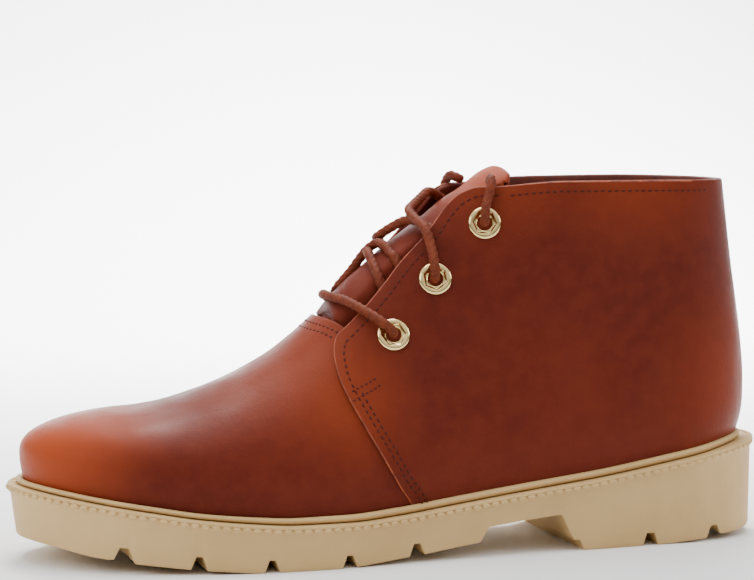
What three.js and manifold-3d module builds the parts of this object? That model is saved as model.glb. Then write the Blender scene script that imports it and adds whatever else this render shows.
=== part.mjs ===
// Chukka boot for the left foot, in millimetres.
// +X runs from toe to heel, -Y is the outer side of the foot and +Z is up.
// The origin is on the floor under the middle of the sole.
import * as THREE from "three";
import { mergeVertices } from "three/addons/utils/BufferGeometryUtils.js";
import Module from "manifold-3d";

const wasm = await Module();
wasm.setup();

// Driving dimensions
const LENGTH = 288; // sole, heel back to toe tip
const GAP = 0.3; // between pieces that meet
const HEEL_CENTRE = 42; // middle of the heel's round end, from the heel back
const TOE_CENTRE = 243; // middle of the toe's round end, from the heel back
const LEDGE = 5; // sole's ledge outside the upper
const FEATHER_PULL = 1.8; // how far the upper draws in at its foot
const WIDEST_ABOVE = 11; // upper's widest level above its foot
const TOE_REACH = 283.6; // upper's toe, from the heel back
const WALL = 1.6; // upper with its lining
const QUARTER = 1.2; // quarter leather
const QUARTER_FACE = GAP + QUARTER; // quarter's outer face above the upper
const ANKLE_LEVEL = 85;
const COLLAR_LEVEL = 137;
const WELT = { width: 3, height: 2.4, clear: 0.8 };
const INSOLE_THICKNESS = 3;
const TONGUE_THICKNESS = 2.6;
const TONGUE_CLEAR = 4.4; // between tongue and facings, for the lace and the eyelets inside
const TONGUE_SEAT = 1; // between tongue and vamp, which it is sewn under
const EYELET = { flange: 6, hole: 2.6, tube: 3.1 };
const RIM = { height: 2.4, step: 1 }; // ribbed rim round the top of the sole's wall
const LACE = { diameter: 3.5, sides: 8, step: 3.6 };

const COLOURS = {
  leather: { color: "#8e3a20", roughness: 0.35, metalness: 0 },
  lining: { color: "#7a3420", roughness: 0.6, metalness: 0 },
  rubber: { color: "#c9b186", roughness: 0.75, metalness: 0 },
  metal: { color: "#d9bd78", roughness: 0.2, metalness: 1 },
  lace: { color: "#7d3a22", roughness: 0.8, metalness: 0 },
};

// Rows of numbers under named columns
const table = (names, rows) =>
  rows.map((row) => Object.fromEntries(names.split(" ").map((name, i) => [name, row[i]])));

// Half widths of the sole before its ends are rounded, and the curve of its centre line
const PLAN = table("back outer inner centre", [
  [0, 34, 34, 0],
  [40, 34, 34, 0],
  [72, 37, 35, 0],
  [115, 41, 32, 0],
  [144, 45, 35, 0],
  [178, 50, 44, 0],
  [201, 51, 50, 0],
  [224, 50, 51, 1],
  [243, 46.5, 48, 2.1],
  [267, 41, 43, 3.2],
  [288, 37, 39, 4],
]);

// The sole's top, which carries the upper
const SOLE_TOP = table("back top", [
  [0, 37.4],
  [16, 35.7],
  [31, 33.1],
  [53, 29.4],
  [74, 26.4],
  [94, 24.1],
  [114, 21.8],
  [134, 19.5],
  [154, 17.3],
  [173, 16.1],
  [192, 16.2],
  [210, 17.5],
  [228, 19.4],
  [245, 22],
  [261, 24.4],
  [274, 26.4],
  [283, 27.6],
  [288, 28],
]);

// The sole's underside: heel, breast, waist, forefoot and toe spring
const SOLE_BOTTOM = table("back bottom draft", [
  [0, 4, 0.5],
  [10, 2.6, 0.5],
  [22, 2.2, 0.5],
  [30, 1.2, 0.8],
  [48, 0, 1],
  [80, 0, 1],
  [82, 4, 1],
  [84.4, 4.1, 1],
  [89.5, 13.8, 1],
  [104, 12.6, 1],
  [118.5, 11, 1],
  [122, 5.6, 1],
  [143, 3, 1],
  [152, 2.1, 1],
  [173, 0, 1],
  [207, 0, 1],
  [223, 1.2, 1.2],
  [232, 2, 1.5],
  [250, 3.9, 1.7],
  [264, 5.6, 2],
  [274, 7.8, 2.2],
  [282, 9, 2],
  [288, 9.6, 2],
]);

// Grooves across the tread: middle, half widths at mouth and roof, and roof level
const GROOVES = table("back mouth roof top", [
  [25.6, 3.4, 1.8, 5.9],
  [52.7, 3.2, 1.6, 4.6],
  [147.3, 3, 1.2, 6.9],
  [173.5, 2.8, 1.1, 4.5],
  [202.3, 2.8, 1.1, 4.4],
  [228, 2.9, 1.1, 6.4],
  [253.6, 4, 1.8, 9.4],
]);

// Ridge of the upper over the foot and up the front of the ankle, and the crown of each section
const RIDGE = table("back ridge crown", [
  [0, 370, 2.4],
  [30, 310, 2.4],
  [60, 250, 2.4],
  [85, 203, 2.4],
  [100, 178, 2.3],
  [111, 162, 2.25],
  [120, 150, 2.2],
  [135, 131, 2.1],
  [150, 113, 2],
  [165, 96.5, 2],
  [173, 88, 2],
  [181, 80.7, 2.05],
  [190, 73.6, 2.1],
  [199, 68.8, 2.15],
  [208, 64.5, 2.2],
  [217, 60.6, 2.25],
  [226, 57.5, 2.3],
  [235, 55.6, 2.3],
  [244, 54.6, 2.3],
  [262, 54.2, 2.3],
  [288, 54.2, 2.3],
]);

// Half widths of the upper at the ankle and at the collar
const SHAFT = table("back ankle collar", [
  [0, 27.5, 30],
  [60, 29, 31.5],
  [110, 30, 32],
  [140, 33, 33],
  [175, 40, 38],
  [200, 45, 45],
  [288, 45, 45],
]);

// The line of the heel's back
const BACK_LINE = table("level back", [
  [25, 8.2],
  [40, 6.6],
  [50, 5.8],
  [60, 5.6],
  [73, 6.5],
  [89, 8.6],
  [104, 11],
  [122, 13.4],
  [137, 15.2],
]);

// Top edge in side view: the collar from the heel back, then the facing down to the throat
const COLLAR = table("back level", [
  [14, 135.6],
  [50, 136],
  [85, 135.9],
  [109, 134],
]);
const FACING = table("back level", [
  [109, 134],
  [115, 133.8],
  [119, 133],
  [124, 130.2],
  [128.5, 125.6],
  [135.7, 116.4],
  [145, 106.7],
  [152.4, 98.1],
  [160, 90],
  [167.5, 83],
]);
const THROAT_MIDDLE = 174.5; // vamp's top edge over the ridge, from the heel back

// Front edge of the quarter in side view, from the throat down to the sole
const SEAM = table("back level", [
  [167.2, 90],
  [167.5, 84],
  [170.2, 80.5],
  [172.3, 77],
  [173.2, 72.5],
  [172.8, 66],
  [170.5, 59],
  [165.6, 49],
  [158.8, 37],
  [153.4, 28],
  [148, 21.5],
  [143, 12],
]);

// Eyelets in side view, from the top one down
const EYELETS = table("back level", [
  [115.5, 121],
  [134.7, 100.8],
  [151.8, 80.9],
]);

// Tongue's middle line, its half width and how fast its sides fall away
const TONGUE = table("back level half fall", [
  [186, 75.4, 24, 0.018],
  [179, 80.6, 25, 0.019],
  [167, 91.5, 28, 0.021],
  [154, 102, 28, 0.019],
  [144.5, 110, 28, 0.017],
  [131.4, 119.5, 28, 0.014],
  [119.6, 129, 27, 0.014],
  [113, 134.4, 25, 0.015],
  [107, 139, 21, 0.015],
  [102.5, 141, 14, 0.012],
]);

const clamp = (value, low, high) => Math.min(high, Math.max(low, value));
const mix = (a, b, t) => a + (b - a) * t;
const mixPoint = (p, q, t) => p.map((value, i) => mix(value, q[i], t));
const ease = (low, high, value) => {
  const t = clamp((value - low) / (high - low), 0, 1);
  return t * t * (3 - 2 * t);
};

// Smooth curve through one column of a table, without overshoot
function curve(rows, along, name) {
  const x = rows.map((row) => row[along]);
  const y = rows.map((row) => row[name]);
  const last = x.length - 1;
  const chord = (i) => (y[i + 1] - y[i]) / (x[i + 1] - x[i]);
  const slope = x.map((_, i) => {
    if (i === 0) return chord(0);
    if (i === last) return chord(last - 1);
    const before = chord(i - 1);
    const after = chord(i);
    return before * after <= 0 ? 0 : (2 * before * after) / (before + after);
  });
  return (value) => {
    const v = clamp(value, x[0], x[last]);
    const i = Math.min(last - 1, Math.max(0, x.findIndex((edge) => edge > v) - 1));
    const at = v >= x[last] ? last - 1 : i;
    const span = x[at + 1] - x[at];
    const t = (v - x[at]) / span;
    const t2 = t * t;
    const t3 = t2 * t;
    return (
      (2 * t3 - 3 * t2 + 1) * y[at] +
      (t3 - 2 * t2 + t) * span * slope[at] +
      (3 * t2 - 2 * t3) * y[at + 1] +
      (t3 - t2) * span * slope[at + 1]
    );
  };
}

const planOuter = curve(PLAN, "back", "outer");
const planInner = curve(PLAN, "back", "inner");
const centreLine = curve(PLAN, "back", "centre");
const soleTop = curve(SOLE_TOP, "back", "top");
const ridgeLevel = curve(RIDGE, "back", "ridge");
const crownOf = curve(RIDGE, "back", "crown");
const ankleWidth = curve(SHAFT, "back", "ankle");
const collarWidth = curve(SHAFT, "back", "collar");
const backLine = curve(BACK_LINE, "level", "back");
const collarLevel = curve(COLLAR, "back", "level");

// The frame puts the middle of the sole's length at the origin
const place = ([back, y, z]) => [LENGTH / 2 - back, y, z];
const planWidth = (back, side) => (side < 0 ? planOuter(back) : planInner(back));
const footLevel = (back) => soleTop(back) + GAP;

// The upper's outer face is where this is 1: less inside, more outside
function form([back, y, z]) {
  const side = y < centreLine(back) ? -1 : 1;
  const foot = footLevel(back);
  const widest = foot + WIDEST_ABOVE;
  const below = clamp((widest - z) / WIDEST_ABOVE, 0, 2);
  const footWidth = planWidth(back, side) - LEDGE - FEATHER_PULL * below * below;
  const ankle = mix(footWidth, ankleWidth(back), ease(widest, ANKLE_LEVEL, z));
  const width = mix(ankle, collarWidth(back), ease(ANKLE_LEVEL, COLLAR_LEVEL, z));
  const height = Math.max(0, (z - widest) / (ridgeLevel(back) - widest));
  const pull = FEATHER_PULL * below * below;
  const heel = Math.max(0, (HEEL_CENTRE - back) / (HEEL_CENTRE - backLine(z) - pull));
  const toe = Math.max(0, (back - TOE_CENTRE) / (TOE_REACH - pull - TOE_CENTRE));
  const across = (y - centreLine(back)) / width;
  return across * across + Math.pow(height, crownOf(back)) + heel * heel + toe * toe;
}

// Where the ray from a point inside, through another point, leaves the form
function leave(from, through) {
  const at = (t) => mixPoint(from, through, t);
  let near = 0;
  let far = 0.25;
  while (form(at(far)) < 1) far *= 1.5;
  for (let i = 0; i < 40; i++) {
    const middle = (near + far) / 2;
    if (form(at(middle)) < 1) near = middle;
    else far = middle;
  }
  return at(near);
}

// The same point moved out of the form, or into it, square to its face
function offset(point, distance) {
  const step = 0.05;
  const slope = [0, 1, 2].map((axis) => {
    const ahead = point.slice();
    const behind = point.slice();
    ahead[axis] += step;
    behind[axis] -= step;
    return form(ahead) - form(behind);
  });
  const length = Math.hypot(...slope);
  return point.map((value, i) => value + (slope[i] / length) * distance);
}

// Level of the form's face above a point of the plan
function levelAt(back, y) {
  const low = footLevel(back) + WIDEST_ABOVE;
  return leave([back, y, low], [back, y, low + 1])[2];
}

// Ray in plan for each place round the foot: 0 to 1 round the heel, 1 to 2 along the side,
// and 2 to 3 round the toe
function planRay(side, s) {
  const quarter = Math.PI / 2;
  const angle = s < 1 ? s * quarter : s > 2 ? (s - 1) * quarter : quarter;
  const back = mix(HEEL_CENTRE, TOE_CENTRE, clamp(s - 1, 0, 1));
  return { back, y: centreLine(back), ahead: [-Math.cos(angle), side * Math.sin(angle)] };
}

// Point on the form's foot line, with the point inside that its ray starts from
function footPoint(side, s) {
  const ray = planRay(side, s);
  let level = footLevel(ray.back);
  let at;
  let from;
  for (let i = 0; i < 4; i++) {
    from = [ray.back, ray.y, level];
    at = leave(from, [ray.back + ray.ahead[0], ray.y + ray.ahead[1], level]);
    level = footLevel(at[0]);
  }
  return { from, at };
}

// Places along a path, spread evenly over its length or crowded towards its start
function spread(pointAt, start, end, count, crowding = 1) {
  const fine = 120;
  const steps = Array.from({ length: fine + 1 }, (_, i) => mix(start, end, i / fine));
  const points = steps.map((s) => pointAt(s));
  const run = [0];
  for (let i = 1; i <= fine; i++) {
    run.push(run[i - 1] + Math.hypot(...points[i].map((value, k) => value - points[i - 1][k])));
  }
  return Array.from({ length: count + 1 }, (_, n) => {
    const goal = run[fine] * (n / count) ** crowding;
    const i = Math.min(fine - 1, Math.max(0, run.findIndex((value) => value > goal) - 1));
    const at = n === count ? fine - 1 : i;
    const t = n === count ? 1 : (goal - run[at]) / (run[at + 1] - run[at]);
    return mix(steps[at], steps[at + 1], t);
  });
}

// Top edge of the upper: the collar, then the facing's edge, then the throat
const COLLAR_CENTRE = 50;
const FACING_TOP = FACING[0].back;
const THROAT_CORNER = FACING[FACING.length - 1].back;
const facingLevel = curve(FACING, "back", "level");

function collarPoint(side, s) {
  const angle = (Math.min(s, 1) * Math.PI) / 2;
  const back = mix(COLLAR_CENTRE, FACING_TOP, clamp(s - 1, 0, 1));
  const level = collarLevel(s < 1 ? back - 36 * Math.cos(angle) : back);
  const from = [back, 0, level];
  return { from, at: leave(from, [back - Math.cos(angle), side * Math.sin(angle), level]) };
}

// A point of the top edge, and the point inside the boot that its ray starts from
function insideUnder([back, y, level]) {
  const depth = mix(0.05, 0.5, ease(FACING_TOP, THROAT_CORNER, back));
  return { from: [back, 0, mix(level, footLevel(back), depth)], at: [back, y, level] };
}

const facingPoint = (side, t) => {
  const back = mix(FACING_TOP, THROAT_CORNER, t);
  const level = facingLevel(back);
  return insideUnder(leave([back, 0, level], [back, side, level]));
};
const throatHalf = Math.abs(facingPoint(-1, 1).at[1]);

const throatPoint = (side, t) => {
  const corner = facingPoint(side, 1).at[1];
  const back = mix(THROAT_CORNER, THROAT_MIDDLE, 1 - (1 - t) ** 2);
  return insideUnder([back, corner * (1 - t), levelAt(back, corner * (1 - t))]);
};

// Columns of the upper's grid on one side, from the heel back to the toe's ridge
const COLUMNS = { collar: 9, facing: 7, vamp: 15 };
const ROWS = 10;
const CROWDING = 1.3; // rows lie closer together towards the foot
const footAt = (back) => 1 + (back - HEEL_CENTRE) / (TOE_CENTRE - HEEL_CENTRE);
const BELOW_FACING = footAt(98);
const BELOW_THROAT = footAt(147);

function columnEnds(side) {
  const foot = (s) => footPoint(side, s).at;
  const parts = [
    [COLUMNS.collar, 0, BELOW_FACING, 0, 2, collarPoint],
    [COLUMNS.facing, BELOW_FACING, BELOW_THROAT, 0, 1, facingPoint],
    [COLUMNS.vamp, BELOW_THROAT, 3, 0, 1, throatPoint],
  ];
  const ends = [];
  parts.forEach(([count, footStart, footEnd, topStart, topEnd, topPoint], part) => {
    const feet = spread(foot, footStart, footEnd, count);
    const tops = spread((t) => topPoint(side, t).at, topStart, topEnd, count);
    for (let i = part ? 1 : 0; i <= count; i++) {
      ends.push({ foot: footPoint(side, feet[i]), top: topPoint(side, tops[i]) });
    }
  });
  return ends;
}

// One column of points on the form, from its foot to its top edge
function columnPoints({ foot, top }) {
  const pointAt = (t) => leave(mixPoint(foot.from, top.from, t), mixPoint(foot.at, top.at, t));
  return spread(pointAt, 0, 1, ROWS, CROWDING).map(pointAt);
}

const sideColumns = (side) => columnEnds(side).map(columnPoints);
const outerColumns = sideColumns(-1);
const innerColumns = sideColumns(1);

// A closed body from points and triangles, its faces pointing out
function body(points, triangles) {
  const vertProperties = new Float32Array(points.flatMap(place));
  const build = (faces) => {
    const triVerts = new Uint32Array(faces.flat());
    return new wasm.Manifold(new wasm.Mesh({ numProp: 3, vertProperties, triVerts }));
  };
  const made = build(triangles);
  return made.volume() > 0 ? made : build(triangles.map(([a, b, c]) => [a, c, b]));
}

// A closed body from two sheets of the same grid; a ring closes on itself
function shell(outside, inside, ring) {
  const columns = outside.length;
  const rows = outside[0].length;
  const points = [...outside.flat(), ...inside.flat()];
  const under = outside.flat().length;
  const at = (i, j) => (i % columns) * rows + j;
  const triangles = [];
  const quad = (a, b, c, d) => triangles.push([a, b, c], [a, c, d]);
  const spans = ring ? columns : columns - 1;
  for (let i = 0; i < spans; i++) {
    for (let j = 0; j < rows - 1; j++) {
      quad(at(i, j), at(i + 1, j), at(i + 1, j + 1), at(i, j + 1));
      quad(under + at(i, j), under + at(i, j + 1), under + at(i + 1, j + 1), under + at(i + 1, j));
    }
    quad(at(i, 0), under + at(i, 0), under + at(i + 1, 0), at(i + 1, 0));
    quad(at(i, rows - 1), at(i + 1, rows - 1), under + at(i + 1, rows - 1), under + at(i, rows - 1));
  }
  if (!ring) {
    for (let j = 0; j < rows - 1; j++) {
      quad(at(0, j), at(0, j + 1), under + at(0, j + 1), under + at(0, j));
      const end = columns - 1;
      quad(at(end, j), under + at(end, j), under + at(end, j + 1), at(end, j + 1));
    }
  }
  return body(points, triangles);
}

const sheet = (columns, distance) => columns.map((points) => points.map((p) => offset(p, distance)));

// A three.js geometry as a closed body
function bodyOf(geometry) {
  const bare = geometry.clone();
  bare.deleteAttribute("normal");
  bare.deleteAttribute("uv");
  const merged = mergeVertices(bare, 1e-4);
  return new wasm.Manifold(
    new wasm.Mesh({
      numProp: 3,
      vertProperties: merged.attributes.position.array,
      triVerts: new Uint32Array(merged.index.array),
    }),
  );
}

// A side view outline carried straight across the boot
function across(outline, yLow, yHigh) {
  const shape = new THREE.Shape(outline.map(([back, z]) => new THREE.Vector2(LENGTH / 2 - back, z)));
  const geometry = new THREE.ExtrudeGeometry(shape, { depth: yHigh - yLow, bevelEnabled: false });
  geometry.rotateX(Math.PI / 2);
  geometry.translate(0, yHigh, 0);
  return bodyOf(geometry);
}

const named = (name, solid, finish) => {
  const { vertProperties, triVerts } = solid.getMesh();
  const geometry = new THREE.BufferGeometry();
  geometry.setAttribute("position", new THREE.BufferAttribute(new Float32Array(vertProperties), 3));
  geometry.setIndex(new THREE.BufferAttribute(new Uint32Array(triVerts), 1));
  geometry.computeVertexNormals();
  const mesh = new THREE.Mesh(geometry, new THREE.MeshStandardMaterial(finish));
  mesh.name = name;
  return mesh;
};

// Eyelet seats: a point on the quarter's outer face and the direction out of it
function eyeletSeats(side) {
  return EYELETS.map(({ back, level }) => {
    const face = leave([back, 0, level], [back, side, level]);
    const seat = new THREE.Vector3(...place(offset(face, QUARTER_FACE)));
    const root = new THREE.Vector3(...place(face));
    return { seat, out: seat.clone().sub(root).normalize() };
  });
}

const seats = { outer: eyeletSeats(-1), inner: eyeletSeats(1) };

// A geometry made along +Y, turned to stand on a seat
function onSeat(geometry, { seat, out }) {
  const turn = new THREE.Quaternion().setFromUnitVectors(new THREE.Vector3(0, 1, 0), out);
  return geometry.applyQuaternion(turn).translate(seat.x, seat.y, seat.z);
}

function cutEyeletHoles(solid, holes) {
  return holes.reduce((rest, seat) => {
    const drill = new THREE.CylinderGeometry(EYELET.tube + GAP, EYELET.tube + GAP, 14, 12);
    return rest.subtract(bodyOf(onSeat(drill, seat)));
  }, solid);
}

// Eyelet: a domed flange outside, a tube through the wall and a rolled edge inside
function eyelet(seat) {
  const { flange, hole, tube } = EYELET;
  const inside = -(QUARTER_FACE + WALL + 0.7);
  const profile = [
    [hole, inside - 0.6],
    [tube + 1.3, inside - 0.5],
    [tube + 1.3, inside],
    [tube, inside],
    [tube, GAP],
    [flange, GAP],
    [flange - 0.3, GAP + 0.7],
    [hole + 1, GAP + 1.1],
    [hole, GAP + 0.6],
    [hole, inside - 0.6],
  ];
  const points = profile.map(([r, h]) => new THREE.Vector2(r, h));
  return bodyOf(onSeat(new THREE.LatheGeometry(points, 14), seat));
}

function upper() {
  const ring = [...outerColumns, ...innerColumns.slice(1, -1).reverse()];
  const wall = shell(ring, sheet(ring, -WALL), true);
  return cutEyeletHoles(wall, [...seats.outer, ...seats.inner]);
}

// Quarter: between two sheets of the upper's form, cut to the seam, the welt and the back seam
function quarter(columns, holes, side) {
  const behind = columns.slice(0, COLUMNS.collar + COLUMNS.facing + 6);
  if (side > 0) behind.reverse(); // the same way round as in the upper, so that their facets match
  const leather = shell(sheet(behind, GAP), sheet(behind, QUARTER_FACE), false);
  const seam = SEAM.filter(({ level }) => level > 22).map(({ back, level }) => [back, level]);
  const lower = [];
  for (let back = 150; back >= -10; back -= 8) {
    lower.push([back, footLevel(back) + WELT.height + GAP]);
  }
  const outline = [[-10, 160], [SEAM[0].back, 160], ...seam, ...lower];
  const reach = side < 0 ? [-80, -GAP / 2] : [GAP / 2, 80];
  const cut = across(outline, ...reach);
  return cutEyeletHoles(leather.intersect(cut), holes);
}

// Outline of the sole at one place: two points, on the outer and inner side
const soleStations = () => {
  const stations = new Set(SOLE_BOTTOM.map((row) => row.back));
  [1.2, 4.5, 15, 36, 60, 70, 132, 162, 190, 215, 241, 257, 269, 278.5, 285.5, 287.4].forEach((v) =>
    stations.add(v),
  );
  return [...stations].sort((a, b) => a - b);
};

function solePoint(back, side, inset) {
  const heel = Math.max(0, (HEEL_CENTRE - back) / HEEL_CENTRE);
  const toe = Math.max(0, (back - TOE_CENTRE) / (LENGTH - TOE_CENTRE));
  const round = Math.sqrt(Math.max(0, 1 - heel * heel - toe * toe));
  const y = centreLine(back) + side * planWidth(back, side) * round;
  const from = [clamp(back, HEEL_CENTRE, TOE_CENTRE), centreLine(back)];
  const away = Math.hypot(back - from[0], y - from[1]);
  const keep = away ? 1 - inset / away : 1;
  return [mix(from[0], back, keep), mix(from[1], y, keep)];
}

// A slab between levels worked out at each place; rings run from the bottom up.
// A level is given the place along the sole, and where the inset has moved its point to.
function slab(stations, rings) {
  const inner = stations.slice(1, -1);
  const ringPoints = rings.map(({ inset, level }) => {
    const point = (back, side) => {
      const [own, y] = solePoint(back, side, inset(back));
      return [own, y, level(back, own)];
    };
    return [
      ...stations.map((back) => point(back, -1)),
      ...inner.map((back) => point(back, 1)).reverse(),
    ];
  });
  const around = ringPoints[0].length;
  const count = stations.length;
  const triangles = [];
  for (let r = 0; r < rings.length - 1; r++) {
    for (let i = 0; i < around; i++) {
      const a = r * around + i;
      const b = r * around + ((i + 1) % around);
      triangles.push([a, a + around, b], [b, a + around, b + around]);
    }
  }
  const opposite = (i) => (around - i) % around;
  const cap = (base, flip) => {
    for (let i = 0; i < count - 1; i++) {
      const corners = [i, i + 1, opposite(i + 1), opposite(i)].map((k) => base + k);
      const faces = [
        [corners[0], corners[1], corners[2]],
        [corners[0], corners[2], corners[3]],
      ].filter((face) => new Set(face).size === 3);
      triangles.push(...faces.map((face) => (flip ? [face[0], face[2], face[1]] : face)));
    }
  };
  cap(0, false);
  cap((rings.length - 1) * around, true);
  return body(ringPoints.flat(), triangles);
}

// Straight lines through one column of a table, for edges that stay sharp
function lines(rows, along, name) {
  return (value) => {
    const i = clamp(rows.findIndex((row) => row[along] > value) - 1, 0, rows.length - 2);
    const at = value >= rows[rows.length - 1][along] ? rows.length - 2 : i;
    const [low, high] = [rows[at], rows[at + 1]];
    return mix(low[name], high[name], clamp((value - low[along]) / (high[along] - low[along]), 0, 1));
  };
}

function outsole() {
  const bottom = lines(SOLE_BOTTOM, "back", "bottom");
  const draft = lines(SOLE_BOTTOM, "back", "draft");
  const block = slab(soleStations(), [
    { inset: (back) => RIM.step + draft(back), level: bottom },
    { inset: () => RIM.step, level: (back) => soleTop(back) - RIM.height - RIM.step },
    { inset: () => 0, level: (back) => soleTop(back) - RIM.height },
    { inset: () => 0, level: (back) => soleTop(back) - 0.5 },
    { inset: () => 0.6, level: soleTop },
  ]);
  const deep = 6;
  const cuts = GROOVES.map(({ back, mouth, roof, top }) => {
    const base = bottom(back);
    const flare = mouth + ((mouth - roof) * deep) / (top - base);
    const outline = [
      [back + flare, base - deep],
      [back + roof, top],
      [back - roof, top],
      [back - flare, base - deep],
    ];
    return across(outline, -80, 80);
  });
  return cuts.reduce((rest, cut) => rest.subtract(cut), block);
}

// Rounded bead on the ledge, round the foot of the upper
function welt() {
  const PLACES = 34;
  const ringOf = (side) =>
    spread((s) => footPoint(side, s).at, 0, 3, PLACES).map((s) => {
      const { from } = footPoint(side, s);
      const { ahead } = planRay(side, s);
      const section = [
        [0, 0],
        [WELT.width, 0],
        [WELT.width + 0.2, WELT.height * 0.45],
        [WELT.width * 0.8, WELT.height * 0.87],
        [WELT.width * 0.35, WELT.height],
        [0, WELT.height * 0.85],
      ];
      return section.map(([out, up]) => {
        const level = from[2] + up;
        const start = [from[0], from[1], level];
        const face = leave(start, [from[0] + ahead[0], from[1] + ahead[1], level]);
        const foot = footPoint(side, s).at;
        const reach = Math.hypot(face[0] - from[0], face[1] - from[1]);
        const footReach = Math.hypot(foot[0] - from[0], foot[1] - from[1]);
        const distance = Math.max(reach + WELT.clear, footReach + GAP + out);
        const back = from[0] + ahead[0] * distance;
        return [back, from[1] + ahead[1] * distance, footLevel(back) + up];
      });
    });
  const outer = ringOf(-1);
  const inner = ringOf(1);
  const ring = [...outer, ...inner.slice(1, -1).reverse()];
  const sides = ring[0].length;
  const triangles = [];
  ring.forEach((_, i) => {
    const next = (i + 1) % ring.length;
    for (let j = 0; j < sides; j++) {
      const k = (j + 1) % sides;
      triangles.push([i * sides + j, i * sides + k, next * sides + k]);
      triangles.push([i * sides + j, next * sides + k, next * sides + j]);
    }
  });
  return body(ring.flat(), triangles);
}

function insole() {
  const inset = LEDGE + FEATHER_PULL + WALL + 3;
  const round = [1.2, 4.5, 10, 20, 36];
  const straight = [60, 85, 110, 135, 160, 185, 210, 230];
  const stations = [0, ...round, ...straight, 248, 262, 274, 282, 286.6, LENGTH];
  const level = (lift) => (back, own) => footLevel(own) + lift;
  return slab(
    stations,
    [GAP, INSOLE_THICKNESS].map((lift) => ({ inset: () => inset, level: level(lift) })),
  );
}

// A tongue point kept under the facings and the vamp; in the open throat it may rise to the form
function tucked(point) {
  const [back, y, z] = point;
  const alongFacing = (back - FACING_TOP) / (THROAT_CORNER - FACING_TOP);
  const half = alongFacing < 1 ? Math.abs(facingPoint(-1, alongFacing).at[1]) : throatHalf;
  const open =
    ease(half - 3, half - 8, Math.abs(y)) * ease(THROAT_MIDDLE - 2, THROAT_MIDDLE - 7, back);
  const from = [back, 0, z - 25];
  const clear = mix(TONGUE_CLEAR, TONGUE_SEAT, ease(THROAT_MIDDLE - 6, THROAT_MIDDLE + 3, back));
  const limit = offset(leave(from, point), -mix(WALL + clear, 0.3, open));
  const reach = (p) => Math.hypot(...p.map((value, i) => value - from[i]));
  return reach(limit) < reach(point) ? limit : point;
}

// Tongue: a curved flap that stays under the facings
function tongue() {
  const shares = [-1, -0.8, -0.6, -0.4, -0.2, 0, 0.2, 0.4, 0.6, 0.8, 1];
  const outside = TONGUE.map((row) =>
    shares.map((share) => {
      const y = share * row.half;
      return tucked([row.back, y, row.level - row.fall * y * y]);
    }),
  );
  const inside = outside.map((points, i) => {
    const ahead = TONGUE[Math.min(i + 1, TONGUE.length - 1)];
    const behind = TONGUE[Math.max(i - 1, 0)];
    const run = [behind.back - ahead.back, behind.level - ahead.level];
    const length = Math.hypot(...run);
    const down = [(run[1] / length) * TONGUE_THICKNESS, (-run[0] / length) * TONGUE_THICKNESS];
    return points.map(([back, y, z]) => [back + down[0], y * 0.96, z + down[1]]);
  });
  return shell(outside, inside, false);
}

// Routes of the lace on the outer side of the foot, as back, y and z. The bar lies over both
// lowest eyelets. The crossings come up from under one facing and go over the other.
const BAR_HALF = [
  [151.5, -24.4, 80.1],
  [151.9, -28.0, 81.3],
  [152.3, -29.8, 82.2],
  [153.4, -30.7, 83.5],
  [155.6, -30.7, 85.5],
  [158.9, -27.9, 88.0],
  [162.8, -22.9, 90.8],
  [166.2, -15.0, 93.0],
  [169.0, -7.0, 93.8],
];
const BAR_MIDDLE = [170.2, 0, 94.2];

// Each end of the lace leaves a top eyelet, climbs over the facing and tucks in behind it
const END_OUTER = [
  [114.7, -19.8, 120.3],
  [115.5, -22.8, 121.0],
  [116.1, -25.2, 121.6],
  [116.3, -26.3, 122.6],
  [116.4, -26.9, 124.2],
  [116.3, -26.7, 126.0],
  [115.7, -25.9, 128.2],
  [114.4, -24.7, 131.4],
  [113.3, -23.9, 134.6],
  [112.6, -22.0, 136.8],
  [112.1, -19.6, 137.5],
  [111.5, -17.5, 136.6],
  [111.0, -17.0, 134.8],
  [110.8, -17.2, 133.4],
];
const END_INNER = [
  [114.7, 19.8, 120.3],
  [115.5, 22.8, 121.0],
  [116.1, 25.2, 121.6],
  [116.4, 26.4, 122.6],
  [116.7, 27.0, 124.2],
  [116.9, 26.8, 126.0],
  [116.9, 26.0, 128.2],
  [116.5, 24.8, 131.2],
  [116.0, 23.6, 134.2],
  [115.5, 21.8, 136.5],
  [115.0, 19.6, 137.4],
  [113.9, 17.6, 136.9],
  [112.2, 16.7, 136.1],
  [110.8, 16.5, 135.5],
];

const CROSSINGS = [
  [
    [153.4, -13.6, 101.4],
    [153.9, -9.0, 105.6],
    [154.0, -2.0, 109.4],
    [152.2, 4.8, 109.6],
    [149.6, 10.4, 107.2],
  ],
  [
    [163.2, 8.2, 96.2],
    [158.4, 7.2, 102.0],
    [153.2, 5.0, 109.6],
    [149.7, 3.0, 114.0],
    [148.4, -4.0, 112.4],
    [147.2, -9.0, 109.6],
    [146.6, -12.0, 108.8],
  ],
  [
    [134.0, -20.6, 99.9],
    [134.7, -23.5, 100.8],
    [135.2, -25.9, 101.5],
    [135.6, -27.0, 102.6],
    [135.9, -27.8, 104.5],
    [136.0, -27.0, 107.4],
    [136.2, -24.2, 112.4],
    [137.2, -18.9, 119.6],
    [138.4, -9.6, 122.8],
    [138.4, -3.0, 125.4],
    [135.2, 2.4, 127.0],
    [130.6, 7.4, 129.6],
    [126.2, 11.0, 131.6],
  ],
  [
    [134.0, 20.6, 99.9],
    [134.7, 23.5, 100.8],
    [135.2, 25.9, 101.5],
    [135.8, 27.2, 102.2],
    [137.2, 27.9, 104.6],
    [140.4, 23.8, 109.4],
    [144.8, 17.2, 113.8],
    [147.6, 9.0, 114.4],
    [148.6, 3.8, 114.0],
    [144.8, 0.4, 118.6],
    [140.2, -3.8, 121.6],
    [136.6, -8.6, 121.6],
    [134.6, -11.8, 119.8],
  ],
];

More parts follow.
